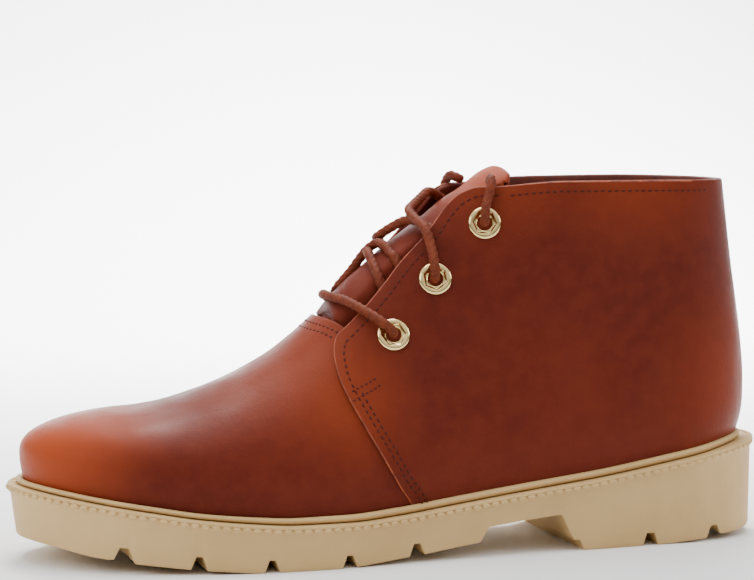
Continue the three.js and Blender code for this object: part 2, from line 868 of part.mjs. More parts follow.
const mirrored = (route) => route.map(([back, y, z]) => [back, -y, z]);

// A round lace along its route
function lace(route) {
  const { diameter, sides, step } = LACE;
  const ring = Array.from({ length: sides }, (_, i) => (i * 2 * Math.PI) / sides);
  const section = ring.map((angle) =>
    new THREE.Vector2(Math.cos(angle), Math.sin(angle)).multiplyScalar(diameter / 2),
  );
  const extrudePath = new THREE.CatmullRomCurve3(
    route.map((point) => new THREE.Vector3(...place(point))),
  );
  const steps = Math.max(2, Math.round(extrudePath.getLength() / step));
  return bodyOf(new THREE.ExtrudeGeometry(new THREE.Shape(section), { steps, extrudePath }));
}

const joined = (solids) => solids.reduce((all, solid) => all.add(solid));

const boot = new THREE.Group();
boot.add(named("outsole", outsole(), COLOURS.rubber));
boot.add(named("welt", welt(), COLOURS.rubber));
boot.add(named("insole", insole(), COLOURS.lining));
boot.add(named("upper", upper(), COLOURS.leather));
boot.add(named("quarter_outer", quarter(outerColumns, seats.outer, -1), COLOURS.leather));
boot.add(named("quarter_inner", quarter(innerColumns, seats.inner, 1), COLOURS.leather));
boot.add(named("tongue", tongue(), COLOURS.leather));
for (const [side, places] of Object.entries(seats)) {
  places.forEach((seat, i) => boot.add(named(`eyelet_${side}_${i + 1}`, eyelet(seat), COLOURS.metal)));
}
const bar = [...BAR_HALF, BAR_MIDDLE, ...mirrored(BAR_HALF).reverse()];
boot.add(named("lace_bar", lace(bar), COLOURS.lace));
boot.add(named("lace_crossings", joined(CROSSINGS.map(lace)), COLOURS.lace));
boot.add(named("lace_end_outer", lace(END_OUTER), COLOURS.lace));
boot.add(named("lace_end_inner", lace(END_INNER), COLOURS.lace));

export default boot;
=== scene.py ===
"""Chukka boot for the left foot: the looks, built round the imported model.

Places are worked out in millimetres as (back, y, z). Back is the distance from the back of the
heel towards the toe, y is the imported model's own, and z is the height above the floor. The
function to_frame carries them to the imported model's frame, in metres.
"""

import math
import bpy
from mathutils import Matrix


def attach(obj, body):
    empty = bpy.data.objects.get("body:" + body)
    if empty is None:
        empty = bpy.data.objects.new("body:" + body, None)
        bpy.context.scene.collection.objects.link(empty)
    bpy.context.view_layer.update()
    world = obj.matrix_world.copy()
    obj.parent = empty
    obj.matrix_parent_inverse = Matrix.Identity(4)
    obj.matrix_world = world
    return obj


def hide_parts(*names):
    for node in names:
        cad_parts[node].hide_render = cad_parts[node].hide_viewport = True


bl_info = {
    "name": "Chukka boot",
    "version": (1, 0, 0),
    "blender": (4, 5, 0),
    "location": "3D View > Sidebar > Boot",
    "description": "Builds a laced leather chukka boot on a moulded rubber sole",
    "category": "Object",
}

import bmesh
import bpy
import numpy as np
from mathutils import Matrix, Vector

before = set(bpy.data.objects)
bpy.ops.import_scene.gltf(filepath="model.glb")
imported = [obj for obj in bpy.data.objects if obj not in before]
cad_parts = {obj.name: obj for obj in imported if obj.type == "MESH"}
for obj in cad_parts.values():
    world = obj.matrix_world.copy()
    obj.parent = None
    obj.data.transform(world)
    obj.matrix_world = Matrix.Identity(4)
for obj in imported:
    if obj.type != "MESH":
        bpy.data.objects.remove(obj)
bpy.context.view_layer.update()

# Driving dimensions, in millimetres
LENGTH = 288.0  # sole, heel back to toe tip
GAP = 0.3
HEEL_CENTRE = 42.0  # middle of the heel's round end, from the heel back
TOE_CENTRE = 243.0  # middle of the toe's round end
TOE_REACH = 283.6  # upper's toe
LEDGE = 5.0  # sole's ledge outside the upper
FEATHER_PULL = 1.8  # how far the upper draws in at its foot
WIDEST_ABOVE = 11.0  # upper's widest level above its foot
ANKLE_LEVEL = 85.0
COLLAR_LEVEL = 137.0
COLLAR_CENTRE = 50.0
WALL = 1.6  # upper with its lining
QUARTER_THICK = 1.2
QUARTER_FACE = GAP + QUARTER_THICK  # quarter's outer face above the upper
RIM_HEIGHT = 2.4  # ribbed rim round the top of the sole's wall
RIM_STEP = 1.0
THROAT_CORNER = 167.5
HOLE = 3.2  # radius of the holes that the eyelets go through
THROAT_MIDDLE = 174.5
FACING_TOP = 109.0
OUTER, INNER = -1, 1  # sides of the foot

# Half widths of the sole before its ends are rounded, and the curve of its centre line
PLAN = {
    "back": [0, 40, 72, 115, 144, 178, 201, 224, 243, 267, 288],
    "outer": [34, 34, 37, 41, 45, 50, 51, 50, 46.5, 41, 37],
    "inner": [34, 34, 35, 32, 35, 44, 50, 51, 48, 43, 39],
    "centre": [0, 0, 0, 0, 0, 0, 0, 1, 2.1, 3.2, 4],
}
SOLE_TOP = {
    "back": [0, 16, 31, 53, 74, 94, 114, 134, 154, 173, 192, 210, 228, 245, 261, 274, 283, 288],
    "top": [
        37.4, 35.7, 33.1, 29.4, 26.4, 24.1, 21.8, 19.5, 17.3,
        16.1, 16.2, 17.5, 19.4, 22, 24.4, 26.4, 27.6, 28,
    ],
}
# The sole's underside: heel, breast, waist, forefoot and toe spring
SOLE_BOTTOM = {
    "back": [
        0, 10, 22, 30, 48, 80, 82, 84.4, 89.5, 104, 118.5, 122,
        143, 152, 173, 207, 223, 232, 250, 264, 274, 282, 288,
    ],
    "bottom": [
        4, 2.6, 2.2, 1.2, 0, 0, 4, 4.1, 13.8, 12.6, 11, 5.6,
        3, 2.1, 0, 0, 1.2, 2, 3.9, 5.6, 7.8, 9, 9.6,
    ],
    "draft": [
        0.5, 0.5, 0.5, 0.8, 1, 1, 1, 1, 1, 1, 1, 1,
        1, 1, 1, 1, 1.2, 1.5, 1.7, 2, 2.2, 2, 2,
    ],
}
# Grooves across the tread: middle, half widths at mouth and roof, and roof level
GROOVES = [
    (25.6, 3.4, 1.8, 5.9),
    (52.7, 3.2, 1.6, 4.6),
    (147.3, 3.0, 1.2, 6.9),
    (173.5, 2.8, 1.1, 4.5),
    (202.3, 2.8, 1.1, 4.4),
    (228.0, 2.9, 1.1, 6.4),
    (253.6, 4.0, 1.8, 9.4),
]
# Ridge of the upper over the foot and up the front of the ankle, and each section's crown
RIDGE = {
    "back": [
        0, 30, 60, 85, 100, 111, 120, 135, 150, 165, 173,
        181, 190, 199, 208, 217, 226, 235, 244, 262, 288,
    ],
    "ridge": [
        370, 310, 250, 203, 178, 162, 150, 131, 113, 96.5, 88,
        80.7, 73.6, 68.8, 64.5, 60.6, 57.5, 55.6, 54.6, 54.2, 54.2,
    ],
    "crown": [
        2.4, 2.4, 2.4, 2.4, 2.3, 2.25, 2.2, 2.1, 2, 2, 2,
        2.05, 2.1, 2.15, 2.2, 2.25, 2.3, 2.3, 2.3, 2.3, 2.3,
    ],
}
SHAFT = {
    "back": [0, 60, 110, 140, 175, 200, 288],
    "ankle": [27.5, 29, 30, 33, 40, 45, 45],
    "collar": [30, 31.5, 32, 33, 38, 45, 45],
}
BACK_LINE = {
    "level": [25, 40, 50, 60, 73, 89, 104, 122, 137],
    "back": [8.2, 6.6, 5.8, 5.6, 6.5, 8.6, 11, 13.4, 15.2],
}
COLLAR = {"back": [14, 50, 85, 109], "level": [135.6, 136, 135.9, 134]}
FACING = {
    "back": [109, 115, 119, 124, 128.5, 135.7, 145, 152.4, 160, 167.5],
    "level": [134, 133.8, 133, 130.2, 125.6, 116.4, 106.7, 98.1, 90, 83],
}
# Front edge of the quarter in side view, from the welt up to the throat's corner
SEAM = [
    (145.5, 16.5), (148.5, 21.5), (153.4, 28), (158.8, 37), (165.6, 49), (170.5, 59),
    (172.8, 66), (173.2, 72.5), (172.3, 77), (170.4, 80.6), (167.4, 84.0),
]
# Eyelets in side view, from the top one down, with the turn of each one's six-sided recess
EYELETS = [(115.5, 121.0, 24.0), (134.7, 100.8, 8.0), (151.8, 80.9, 30.0)]


def curve(rows, along, name):
    """Smooth curve through one column of a table, without overshoot."""
    x = np.array(rows[along], float)
    y = np.array(rows[name], float)
    chord = np.diff(y) / np.diff(x)
    slopes = np.concatenate([chord[:1], np.zeros(len(x) - 2), chord[-1:]])
    for i in range(1, len(x) - 1):
        before, after = chord[i - 1], chord[i]
        if before * after > 0:
            slopes[i] = 2 * before * after / (before + after)

    def value(at):
        v = np.clip(at, x[0], x[-1])
        i = np.clip(np.searchsorted(x, v, side="right") - 1, 0, len(x) - 2)
        span = x[i + 1] - x[i]
        t = (v - x[i]) / span
        low = (2 * t**3 - 3 * t**2 + 1) * y[i] + (t**3 - 2 * t**2 + t) * span * slopes[i]
        high = (3 * t**2 - 2 * t**3) * y[i + 1] + (t**3 - t**2) * span * slopes[i + 1]
        return low + high

    return value


def ease(low, high, value):
    t = np.clip((value - low) / (high - low), 0, 1)
    return t * t * (3 - 2 * t)


def mix(a, b, t):
    return a + (b - a) * t


plan_outer = curve(PLAN, "back", "outer")
plan_inner = curve(PLAN, "back", "inner")
centre_line = curve(PLAN, "back", "centre")
sole_top = curve(SOLE_TOP, "back", "top")
ridge_level = curve(RIDGE, "back", "ridge")
crown_of = curve(RIDGE, "back", "crown")
ankle_width = curve(SHAFT, "back", "ankle")
collar_width = curve(SHAFT, "back", "collar")
back_line = curve(BACK_LINE, "level", "back")
collar_level = curve(COLLAR, "back", "level")
facing_level = curve(FACING, "back", "level")


def foot_level(back):
    return sole_top(back) + GAP


def to_frame(points):
    """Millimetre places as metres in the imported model's frame."""
    p = np.asarray(points, float)
    return np.stack([LENGTH / 2 - p[..., 0], p[..., 1], p[..., 2]], axis=-1) / 1000


def form(points):
    """The upper's outer face is where this is 1: less inside, more outside."""
    back, y, z = points[..., 0], points[..., 1], points[..., 2]
    centre = centre_line(back)
    plan = np.where(y < centre, plan_outer(back), plan_inner(back))
    widest = foot_level(back) + WIDEST_ABOVE
    pull = FEATHER_PULL * np.clip((widest - z) / WIDEST_ABOVE, 0, 2) ** 2
    ankle = mix(plan - LEDGE - pull, ankle_width(back), ease(widest, ANKLE_LEVEL, z))
    width = mix(ankle, collar_width(back), ease(ANKLE_LEVEL, COLLAR_LEVEL, z))
    height = np.maximum(0, (z - widest) / (ridge_level(back) - widest))
    heel = np.maximum(0, (HEEL_CENTRE - back) / (HEEL_CENTRE - back_line(z) - pull))
    toe = np.maximum(0, (back - TOE_CENTRE) / (TOE_REACH - pull - TOE_CENTRE))
    across = (y - centre) / width
    return across**2 + height ** crown_of(back) + heel**2 + toe**2


def leave(start, through):
    """Where rays from points inside, through other points, leave the form."""
    start, through = np.broadcast_arrays(np.asarray(start, float), np.asarray(through, float))

    def at(t):
        return start + (through - start) * t[..., None]

    near = np.zeros(start.shape[:-1])
    far = np.full(start.shape[:-1], 0.25)
    for _ in range(24):
        far = np.where(form(at(far)) < 1, far * 1.5, far)
    for _ in range(34):
        middle = (near + far) / 2
        inside = form(at(middle)) < 1
        near = np.where(inside, middle, near)
        far = np.where(inside, far, middle)
    return at(near)


def outwards(points):
    """Unit directions square to the form."""
    step = 0.05
    slope = []
    for axis in np.eye(3):
        slope.append(form(points + axis * step) - form(points - axis * step))
    slope = np.stack(slope, axis=-1)
    return slope / np.linalg.norm(slope, axis=-1, keepdims=True)


def lifted(points, distance):
    return points + outwards(points) * np.asarray(distance)[..., None]


def stack(*values):
    return np.stack(np.broadcast_arrays(*[np.asarray(v, float) for v in values]), axis=-1)


def on_form(back, level, side, lift=0.0):
    """A place on the upper given in side view, moved out of its face."""
    face = leave(stack(back, 0, level), stack(back, side, level))
    return lifted(face, lift)


def smooth_path(points, pieces=12):
    """Curve through points, with the same count of pieces between each two."""
    p = np.asarray(points, float)
    p = np.vstack([2 * p[0] - p[1], p, 2 * p[-1] - p[-2]])
    t = np.linspace(0, 1, pieces, endpoint=False)[:, None]
    runs = []
    for a, b, c, d in zip(p, p[1:], p[2:], p[3:]):
        runs.append(
            0.5 * (2 * b + (c - a) * t + (2 * a - 5 * b + 4 * c - d) * t**2
                   + (3 * b - a - 3 * c + d) * t**3)
        )
    return np.vstack(runs + [p[-2:-1]])


def along_path(points, count):
    """The same path with its points evenly spread over its length."""
    steps = np.linalg.norm(np.diff(points, axis=0), axis=1)
    run = np.concatenate([[0], np.cumsum(steps)])
    goal = np.linspace(0, run[-1], count)
    return np.stack([np.interp(goal, run, column) for column in points.T], axis=-1)


def path_length(points):
    return float(np.linalg.norm(np.diff(points, axis=0), axis=1).sum())


# Grid of the upper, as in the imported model: a ray for each place of the foot and of the top edge
def plan_ray(side, s):
    angle = np.where(s < 1, s, np.where(s > 2, s - 1, 1)) * math.pi / 2
    back = mix(HEEL_CENTRE, TOE_CENTRE, np.clip(s - 1, 0, 1))
    return stack(back, centre_line(back)), stack(-np.cos(angle), side * np.sin(angle))


def foot_point(side, s):
    middle, ahead = plan_ray(side, s)
    level = foot_level(middle[..., 0])
    for _ in range(4):
        start = stack(middle[..., 0], middle[..., 1], level)
        through = stack(middle[..., 0] + ahead[..., 0], middle[..., 1] + ahead[..., 1], level)
        at = leave(start, through)
        level = foot_level(at[..., 0])
    return start, at


def inside_under(at):
    back, level = at[..., 0], at[..., 2]
    depth = mix(0.05, 0.5, ease(FACING_TOP, THROAT_CORNER, back))
    return stack(back, 0, mix(level, foot_level(back), depth))


def collar_point(side, s):
    angle = np.minimum(s, 1) * math.pi / 2
    back = mix(COLLAR_CENTRE, FACING_TOP, np.clip(s - 1, 0, 1))
    level = collar_level(np.where(s < 1, back - 36 * np.cos(angle), back))
    start = stack(back, 0, level)
    return start, leave(start, stack(back - np.cos(angle), side * np.sin(angle), level))


def facing_point(side, t):
    back = mix(FACING_TOP, THROAT_CORNER, t)
    at = on_form(back, facing_level(back), side)
    return inside_under(at), at


THROAT_HALF = float(abs(facing_point(OUTER, np.array([1.0]))[1][0, 1]))


def throat_point(side, t):
    back = mix(THROAT_CORNER, THROAT_MIDDLE, 1 - (1 - t) ** 2)
    y = side * THROAT_HALF * (1 - t)
    low = foot_level(back) + WIDEST_ABOVE
    at = leave(stack(back, y, low), stack(back, y, low + 1))
    return inside_under(at), at


def foot_place(back):
    return 1 + (back - HEEL_CENTRE) / (TOE_CENTRE - HEEL_CENTRE)


COLUMNS = (
    (66, 0.0, foot_place(98), 0.0, 2.0, collar_point),
    (54, foot_place(98), foot_place(147), 0.0, 1.0, facing_point),
    (106, foot_place(147), 3.0, 0.0, 1.0, throat_point),
)
ROWS = 78


def spread(point_at, start, end, count):
    """Places along a path, spread evenly over its length."""
    steps = np.linspace(start, end, 300)
    points = point_at(steps)
    run = np.concatenate([[0], np.cumsum(np.linalg.norm(np.diff(points, axis=0), axis=1))])
    return np.interp(np.linspace(0, run[-1], count + 1), run, steps)


def side_columns(side):
    """Points on the form for one side: columns from the heel to the toe, rows from the foot up."""
    ends = [[], [], [], []]
    for count, foot_start, foot_end, top_start, top_end, top in COLUMNS:
        feet = spread(lambda s: foot_point(side, s)[1], foot_start, foot_end, count)
        tops = spread(lambda t: top(side, t)[1], top_start, top_end, count)
        skip = 1 if ends[0] else 0
        for bank, points in zip(ends, (*foot_point(side, feet), *top(side, tops))):
            bank.append(points[skip:])
    foot_from, foot_at, top_from, top_at = (np.vstack(bank)[:, None, :] for bank in ends)

    def point_at(t):
        t = t[..., None]
        return leave(mix(foot_from, top_from, t), mix(foot_at, top_at, t))

    columns = foot_at.shape[0]
    fine = np.tile(np.linspace(0, 1, 46), (columns, 1))
    points = point_at(fine)
    steps = np.linalg.norm(np.diff(points, axis=1), axis=2)
    run = np.concatenate([np.zeros((columns, 1)), np.cumsum(steps, axis=1)], axis=1)
    even = [np.interp(np.linspace(0, r[-1], ROWS + 1), r, f) for r, f in zip(run, fine)]
    return point_at(np.array(even))


# Making of pieces
def grid(places, uv=False):
    """A grid whose vertices take the places of an array of (columns, rows, 3)."""
    columns, rows = places.shape[0] - 1, places.shape[1] - 1
    bm = bmesh.new()
    bmesh.ops.create_grid(bm, x_segments=columns, y_segments=rows, size=0.5)
    put = to_frame(places)
    where = {}
    for vert in bm.verts:
        i = round((vert.co.x + 0.5) * columns)
        j = round((vert.co.y + 0.5) * rows)
        where[vert] = (i, j)
    if uv:
        layer = bm.loops.layers.uv.new("UVMap")
        for face in bm.faces:
            for loop in face.loops:
                i, j = where[loop.vert]
                loop[layer].uv = (i / columns, j / rows)
    for vert, (i, j) in where.items():
        vert.co = put[i, j]
    return bm


def close(bm, distance=2e-6):
    """Joins the grid's edges where they meet and turns its faces outwards."""
    bmesh.ops.remove_doubles(bm, verts=bm.verts, dist=distance)
    bmesh.ops.dissolve_degenerate(bm, edges=bm.edges, dist=1e-7)
    bmesh.ops.recalc_face_normals(bm, faces=bm.faces)


def piece(name, bm, materials, slot, *nodes, sharp=None):
    """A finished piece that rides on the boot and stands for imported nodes."""
    mesh = bpy.data.meshes.new(name)
    bm.to_mesh(mesh)
    bm.free()
    mesh.polygons.foreach_set("use_smooth", [True] * len(mesh.polygons))
    if sharp is not None:
        mesh.set_sharp_from_angle(angle=math.radians(sharp))
    obj = bpy.data.objects.new(name, mesh)
    bpy.context.scene.collection.objects.link(obj)
    for material in materials:
        mesh.materials.append(material)
    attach(obj, "root")
    if nodes:
        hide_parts(*nodes)
    return obj


def tube(route, radius, around=20, step=0.38, twist=None):
    """A round cord along a route, with rounded ends; its surface may carry twisted strands."""
    path = smooth_path(route)
    path = along_path(path, max(8, int(path_length(path) / step)))
    run = np.linspace(0, path_length(path), len(path))
    tangent = np.gradient(path, axis=0)
    tangent /= np.linalg.norm(tangent, axis=1, keepdims=True)
    normal = np.zeros_like(path)
    aid = np.array([0.0, 0.0, 1.0]) if abs(tangent[0, 2]) < 0.8 else np.array([1.0, 0.0, 0.0])
    normal[0] = np.cross(tangent[0], aid)
    for i in range(1, len(path)):
        normal[i] = normal[i - 1] - tangent[i] * np.dot(normal[i - 1], tangent[i])
        normal[i] /= np.linalg.norm(normal[i])
    normal[0] /= np.linalg.norm(normal[0])
    across = np.cross(tangent, normal)
    angle = np.linspace(0, 2 * math.pi, around + 1)
    wave = np.zeros((around + 1, len(path)))
    if twist:
        strands, pitch, depth = twist
        wave = depth * np.cos(strands * angle[:, None] + 2 * math.pi * run[None, :] / pitch)
    ends = np.sqrt(np.clip(1 - (1 - np.minimum(run, run[-1] - run) / radius) ** 2, 0, 1))
    ends = np.where(np.minimum(run, run[-1] - run) < radius, ends, 1.0)
    size = (radius + wave) * ends[None, :]
    spoke = (np.cos(angle)[:, None, None] * normal[None] + np.sin(angle)[:, None, None] * across[None])
    return path[None] + spoke * size[..., None]


def join_grids(grids):
    """Several grids as one mesh."""
    whole = grids[0]
    for other in grids[1:]:
        mesh = bpy.data.meshes.new("part")
        other.to_mesh(mesh)
        other.free()
        whole.from_mesh(mesh)
        bpy.data.meshes.remove(mesh)
    return whole


# Materials
def shader(name):
    material = bpy.data.materials.new(name)
    material.use_nodes = True
    nodes = material.node_tree.nodes
    return material, nodes, material.node_tree.links, nodes["Principled BSDF"]


def object_place(nodes, links, scale=(1, 1, 1), location=(0, 0, 0)):
    """Object coordinates through a mapping node."""
    place = nodes.new("ShaderNodeTexCoord")
    mapping = nodes.new("ShaderNodeMapping")
    mapping.inputs["Scale"].default_value = scale
    mapping.inputs["Location"].default_value = location
    links.new(place.outputs["Object"], mapping.inputs["Vector"])
    return mapping.outputs["Vector"]


def noise(nodes, links, vector, scale, detail=3.0, rough=0.5):
    texture = nodes.new("ShaderNodeTexNoise")
    texture.inputs["Scale"].default_value = scale
    texture.inputs["Detail"].default_value = detail
    texture.inputs["Roughness"].default_value = rough
    links.new(vector, texture.inputs["Vector"])
    return texture.outputs["Fac"]


def ramp(nodes, links, value, low, high, start=0.0, end=1.0):
    """A value stretched between two numbers."""
    node = nodes.new("ShaderNodeMapRange")
    node.inputs["From Min"].default_value = low
    node.inputs["From Max"].default_value = high
    node.inputs["To Min"].default_value = start
    node.inputs["To Max"].default_value = end
    node.interpolation_type = "SMOOTHSTEP"
    links.new(value, node.inputs["Value"])
    return node.outputs["Result"]


def blend(nodes, links, share, first, second, mode="MIX"):
    """Two colours mixed; each is a colour or a socket."""
    node = nodes.new("ShaderNodeMix")
    node.data_type = "RGBA"
    node.blend_type = mode
    for value, socket in ((share, node.inputs[0]), (first, node.inputs[6]), (second, node.inputs[7])):
        if isinstance(value, bpy.types.NodeSocket):
            links.new(value, socket)
        elif isinstance(value, (int, float)):
            socket.default_value = value
        else:
            socket.default_value = (*value[:3], 1)
    return node.outputs[2]


def maths(nodes, links, operation, *values):
    node = nodes.new("ShaderNodeMath")
    node.operation = operation
    for value, socket in zip(values, node.inputs):
        if isinstance(value, bpy.types.NodeSocket):
            links.new(value, socket)
        else:
            socket.default_value = value
    return node.outputs[0]


def bump(nodes, links, surface, *layers):
    """Layers of height, each with its depth in metres."""
    normal = None
    for height, depth in layers:
        node = nodes.new("ShaderNodeBump")
        node.inputs["Distance"].default_value = depth
        links.new(height, node.inputs["Height"])
        if normal is not None:
            links.new(normal, node.inputs["Normal"])
        normal = node.outputs["Normal"]
    links.new(normal, surface.inputs["Normal"])


def spot(nodes, links, centre, radius):
    """1 near a place of the boot, falling to 0 at a distance from it: the mask of a painted highlight."""
    back, y, z = centre
    middle = to_frame([back, y, z])
    vector = object_place(nodes, links, location=tuple(-middle))
    length = nodes.new("ShaderNodeVectorMath")
    length.operation = "LENGTH"
    links.new(vector, length.inputs[0])
    return ramp(nodes, links, length.outputs["Value"], radius / 1000, 0.0)


def leather_material(name, deep, warm, light, painted_highlights, gloss=0.34):
    material, nodes, links, surface = shader(name)
    place = object_place(nodes, links)
    cloud = ramp(nodes, links, noise(nodes, links, place, 14, 2), 0.3, 0.7)
    colour = blend(nodes, links, cloud, deep, warm)
    fine = ramp(nodes, links, noise(nodes, links, place, 160, 4, 0.6), 0.3, 0.75, 0.0, 0.07)
    colour = blend(nodes, links, fine, colour, light)
    # Painted highlights: the light colour mixed in round given places where light falls on the leather
    for centre, radius, strength in painted_highlights:
        share = maths(nodes, links, "MULTIPLY", spot(nodes, links, centre, radius), strength)
        colour = blend(nodes, links, share, colour, light)
    links.new(colour, surface.inputs["Base Color"])
    wear = noise(nodes, links, place, 60, 3)
    links.new(ramp(nodes, links, wear, 0.3, 0.7, gloss - 0.05, gloss + 0.1), surface.inputs["Roughness"])
    surface.inputs["IOR"].default_value = 1.19
    surface.inputs["Specular Tint"].default_value = (1.0, 0.55, 0.42, 1)
    grain = nodes.new("ShaderNodeTexVoronoi")
    grain.inputs["Scale"].default_value = 1500
    links.new(place, grain.inputs["Vector"])
    bump(
        nodes, links, surface,
        (noise(nodes, links, place, 45, 3), 0.00025),
        (noise(nodes, links, place, 420, 4, 0.6), 0.00006),
        (grain.outputs["Distance"], 0.00003),
    )
    return material


def plain_material(name, colour, dark, roughness, scale, depth):
    """A matte stuff with slight clouds and a fine tooth."""
    material, nodes, links, surface = shader(name)
    place = object_place(nodes, links)
    cloud = ramp(nodes, links, noise(nodes, links, place, scale, 4, 0.6), 0.3, 0.7)
    links.new(blend(nodes, links, cloud, dark, colour), surface.inputs["Base Color"])
    surface.inputs["Roughness"].default_value = roughness
    bump(nodes, links, surface, (noise(nodes, links, place, 1400, 2), depth))
    return material


def metal_material(name, colour, roughness):
    material, nodes, links, surface = shader(name)
    place = object_place(nodes, links)
    links.new(
        ramp(nodes, links, noise(nodes, links, place, 500, 3), 0.3, 0.7, roughness, roughness + 0.08),
        surface.inputs["Roughness"],
    )
    surface.inputs["Base Color"].default_value = (*colour[:3], 1)
    surface.inputs["Metallic"].default_value = 1
    return material


def lace_material(name, colour, dark, light):
    """Waxed braid: clouds of a darker and a middle brown, with fine paler flecks."""
    material, nodes, links, surface = shader(name)
    place = object_place(nodes, links)
    cloud = ramp(nodes, links, noise(nodes, links, place, 300, 4, 0.6), 0.3, 0.7)
    strands = ramp(nodes, links, noise(nodes, links, place, 1800, 2), 0.35, 0.7, 0.0, 0.35)
    tone = blend(nodes, links, cloud, dark, colour)
    links.new(blend(nodes, links, strands, tone, light), surface.inputs["Base Color"])
    surface.inputs["Roughness"].default_value = 0.6
    surface.inputs["IOR"].default_value = 1.25
    bump(nodes, links, surface, (noise(nodes, links, place, 2600, 2), 0.00012))
    return material


class BootLeather(bpy.types.PropertyGroup):
    deep: bpy.props.FloatVectorProperty(
        name="Deep", description="Leather's deep brown", subtype="COLOR", default=(0.089, 0.0142, 0.0092)
    )
    warm: bpy.props.FloatVectorProperty(
        name="Warm", description="Leather's rust brown", subtype="COLOR", default=(0.116, 0.0185, 0.0105)
    )
    # Light: the paler stretched leather, also used for the painted highlights on the outer side
    light: bpy.props.FloatVectorProperty(
        name="Light", description="Leather where it is stretched", subtype="COLOR", default=(0.37, 0.062, 0.018)
    )
    edge: bpy.props.FloatVectorProperty(
        name="Cut edge", description="Raw edge of the leather", subtype="COLOR", default=(0.36, 0.070, 0.018)
    )
    gloss: bpy.props.FloatProperty(
        name="Roughness", description="Leather's roughness", default=0.40, min=0.05, max=1
    )


class BootSole(bpy.types.PropertyGroup):
    colour: bpy.props.FloatVectorProperty(
        name="Rubber", description="Sole's rubber", subtype="COLOR", default=(0.57, 0.375, 0.155)
    )
    shade: bpy.props.FloatVectorProperty(
        name="Rubber shade", description="Its darker clouds", subtype="COLOR", default=(0.52, 0.335, 0.13)
    )
    rib_pitch: bpy.props.FloatProperty(
        name="Rib pitch", description="Distance between ribs of the rim", unit="LENGTH", default=0.0037
    )
    rib_depth: bpy.props.FloatProperty(
        name="Rib depth", description="Depth of the ribs", unit="LENGTH", default=0.0010
    )


class BootLacing(bpy.types.PropertyGroup):
    colour: bpy.props.FloatVectorProperty(
        name="Lace", description="Lace's brown", subtype="COLOR", default=(0.15, 0.027, 0.010)
    )
    diameter: bpy.props.FloatProperty(
        name="Lace diameter", description="Diameter of the round lace", unit="LENGTH", default=0.0035
    )
    thread: bpy.props.FloatVectorProperty(
        name="Thread", description="Colour of the stitching", subtype="COLOR", default=(0.055, 0.009, 0.004)
    )
    eyelet: bpy.props.FloatVectorProperty(
        name="Eyelets", description="Polished pale gold", subtype="COLOR", default=(0.94, 0.71, 0.31)
    )


def settings():
    scene = bpy.context.scene
    return scene.boot_leather, scene.boot_sole, scene.boot_lacing


def shared(name, make):
    """A material made once and used by several pieces."""
    return bpy.data.materials.get(name) or make()


def leather():
    own = settings()[0]
    # Painted highlights where light falls: the toe's tip and top, the collar, the heel's back and the vamp's top
    # and outer side; at the toe partly the paler stretched leather
    painted_highlights = (
        ((288, -6, 48), 62, 0.85),
        ((262, -12, 60), 46, 0.40),
        ((60, -32, 145), 46, 0.30),
        ((110, -26, 140), 34, 0.25),
        ((8, -8, 60), 60, 0.30),
        ((190, -10, 80), 60, 0.30),
        ((170, -30, 52), 34, 0.30),
    )
    return shared(
        "rust leather",
        lambda: leather_material("rust leather", own.deep, own.warm, own.light, painted_highlights, own.gloss),
    )


def tongue_leather():
    own = settings()[0]
    # Painted highlight on the tongue's top above the collar, where light falls
    painted_highlights = (((104, 0, 140), 34, 0.9),)
    return shared(
        "tongue leather",
        lambda: leather_material("tongue leather", own.warm, own.warm, own.light, painted_highlights, own.gloss + 0.08),
    )


def raw_edge():
    own = settings()[0]
    return shared(
        "raw leather edge", lambda: plain_material("raw leather edge", own.edge, own.warm, 0.7, 260, 0.00008)
    )


def lining():
    return shared(
        "lining leather",
        lambda: plain_material("lining leather", (0.16, 0.028, 0.010), (0.10, 0.017, 0.007), 0.62, 120, 0.00008),
    )


def rubber():
    own = settings()[1]
    return shared("beige rubber", lambda: plain_material("beige rubber", own.colour, own.shade, 0.6, 40, 0.00003))


def gold():
    own = settings()[2]
    return shared("pale gold", lambda: metal_material("pale gold", own.eyelet, 0.07))


def braid():
    own = settings()[2]
    light = (0.26, 0.056, 0.017)
    dark = tuple(c * 0.6 for c in own.colour)
    return shared("waxed braid", lambda: lace_material("waxed braid", own.colour, dark, light))


def thread():
    own = settings()[2]
    light = (0.09, 0.015, 0.006)
    return shared("sewing thread", lambda: lace_material("sewing thread", own.thread, own.thread, light))


# Camera, floor and light
CAMERA = {"turn": 16.0, "distance": 1.0, "height": 0.17492, "aside": -0.005752, "tilt": 4.547}
LENS = {"length": 128.07, "sensor": 36.0}
SWEEP = {"start": 0.7, "radius": 0.6}  # the floor curves up behind the boot, in metres


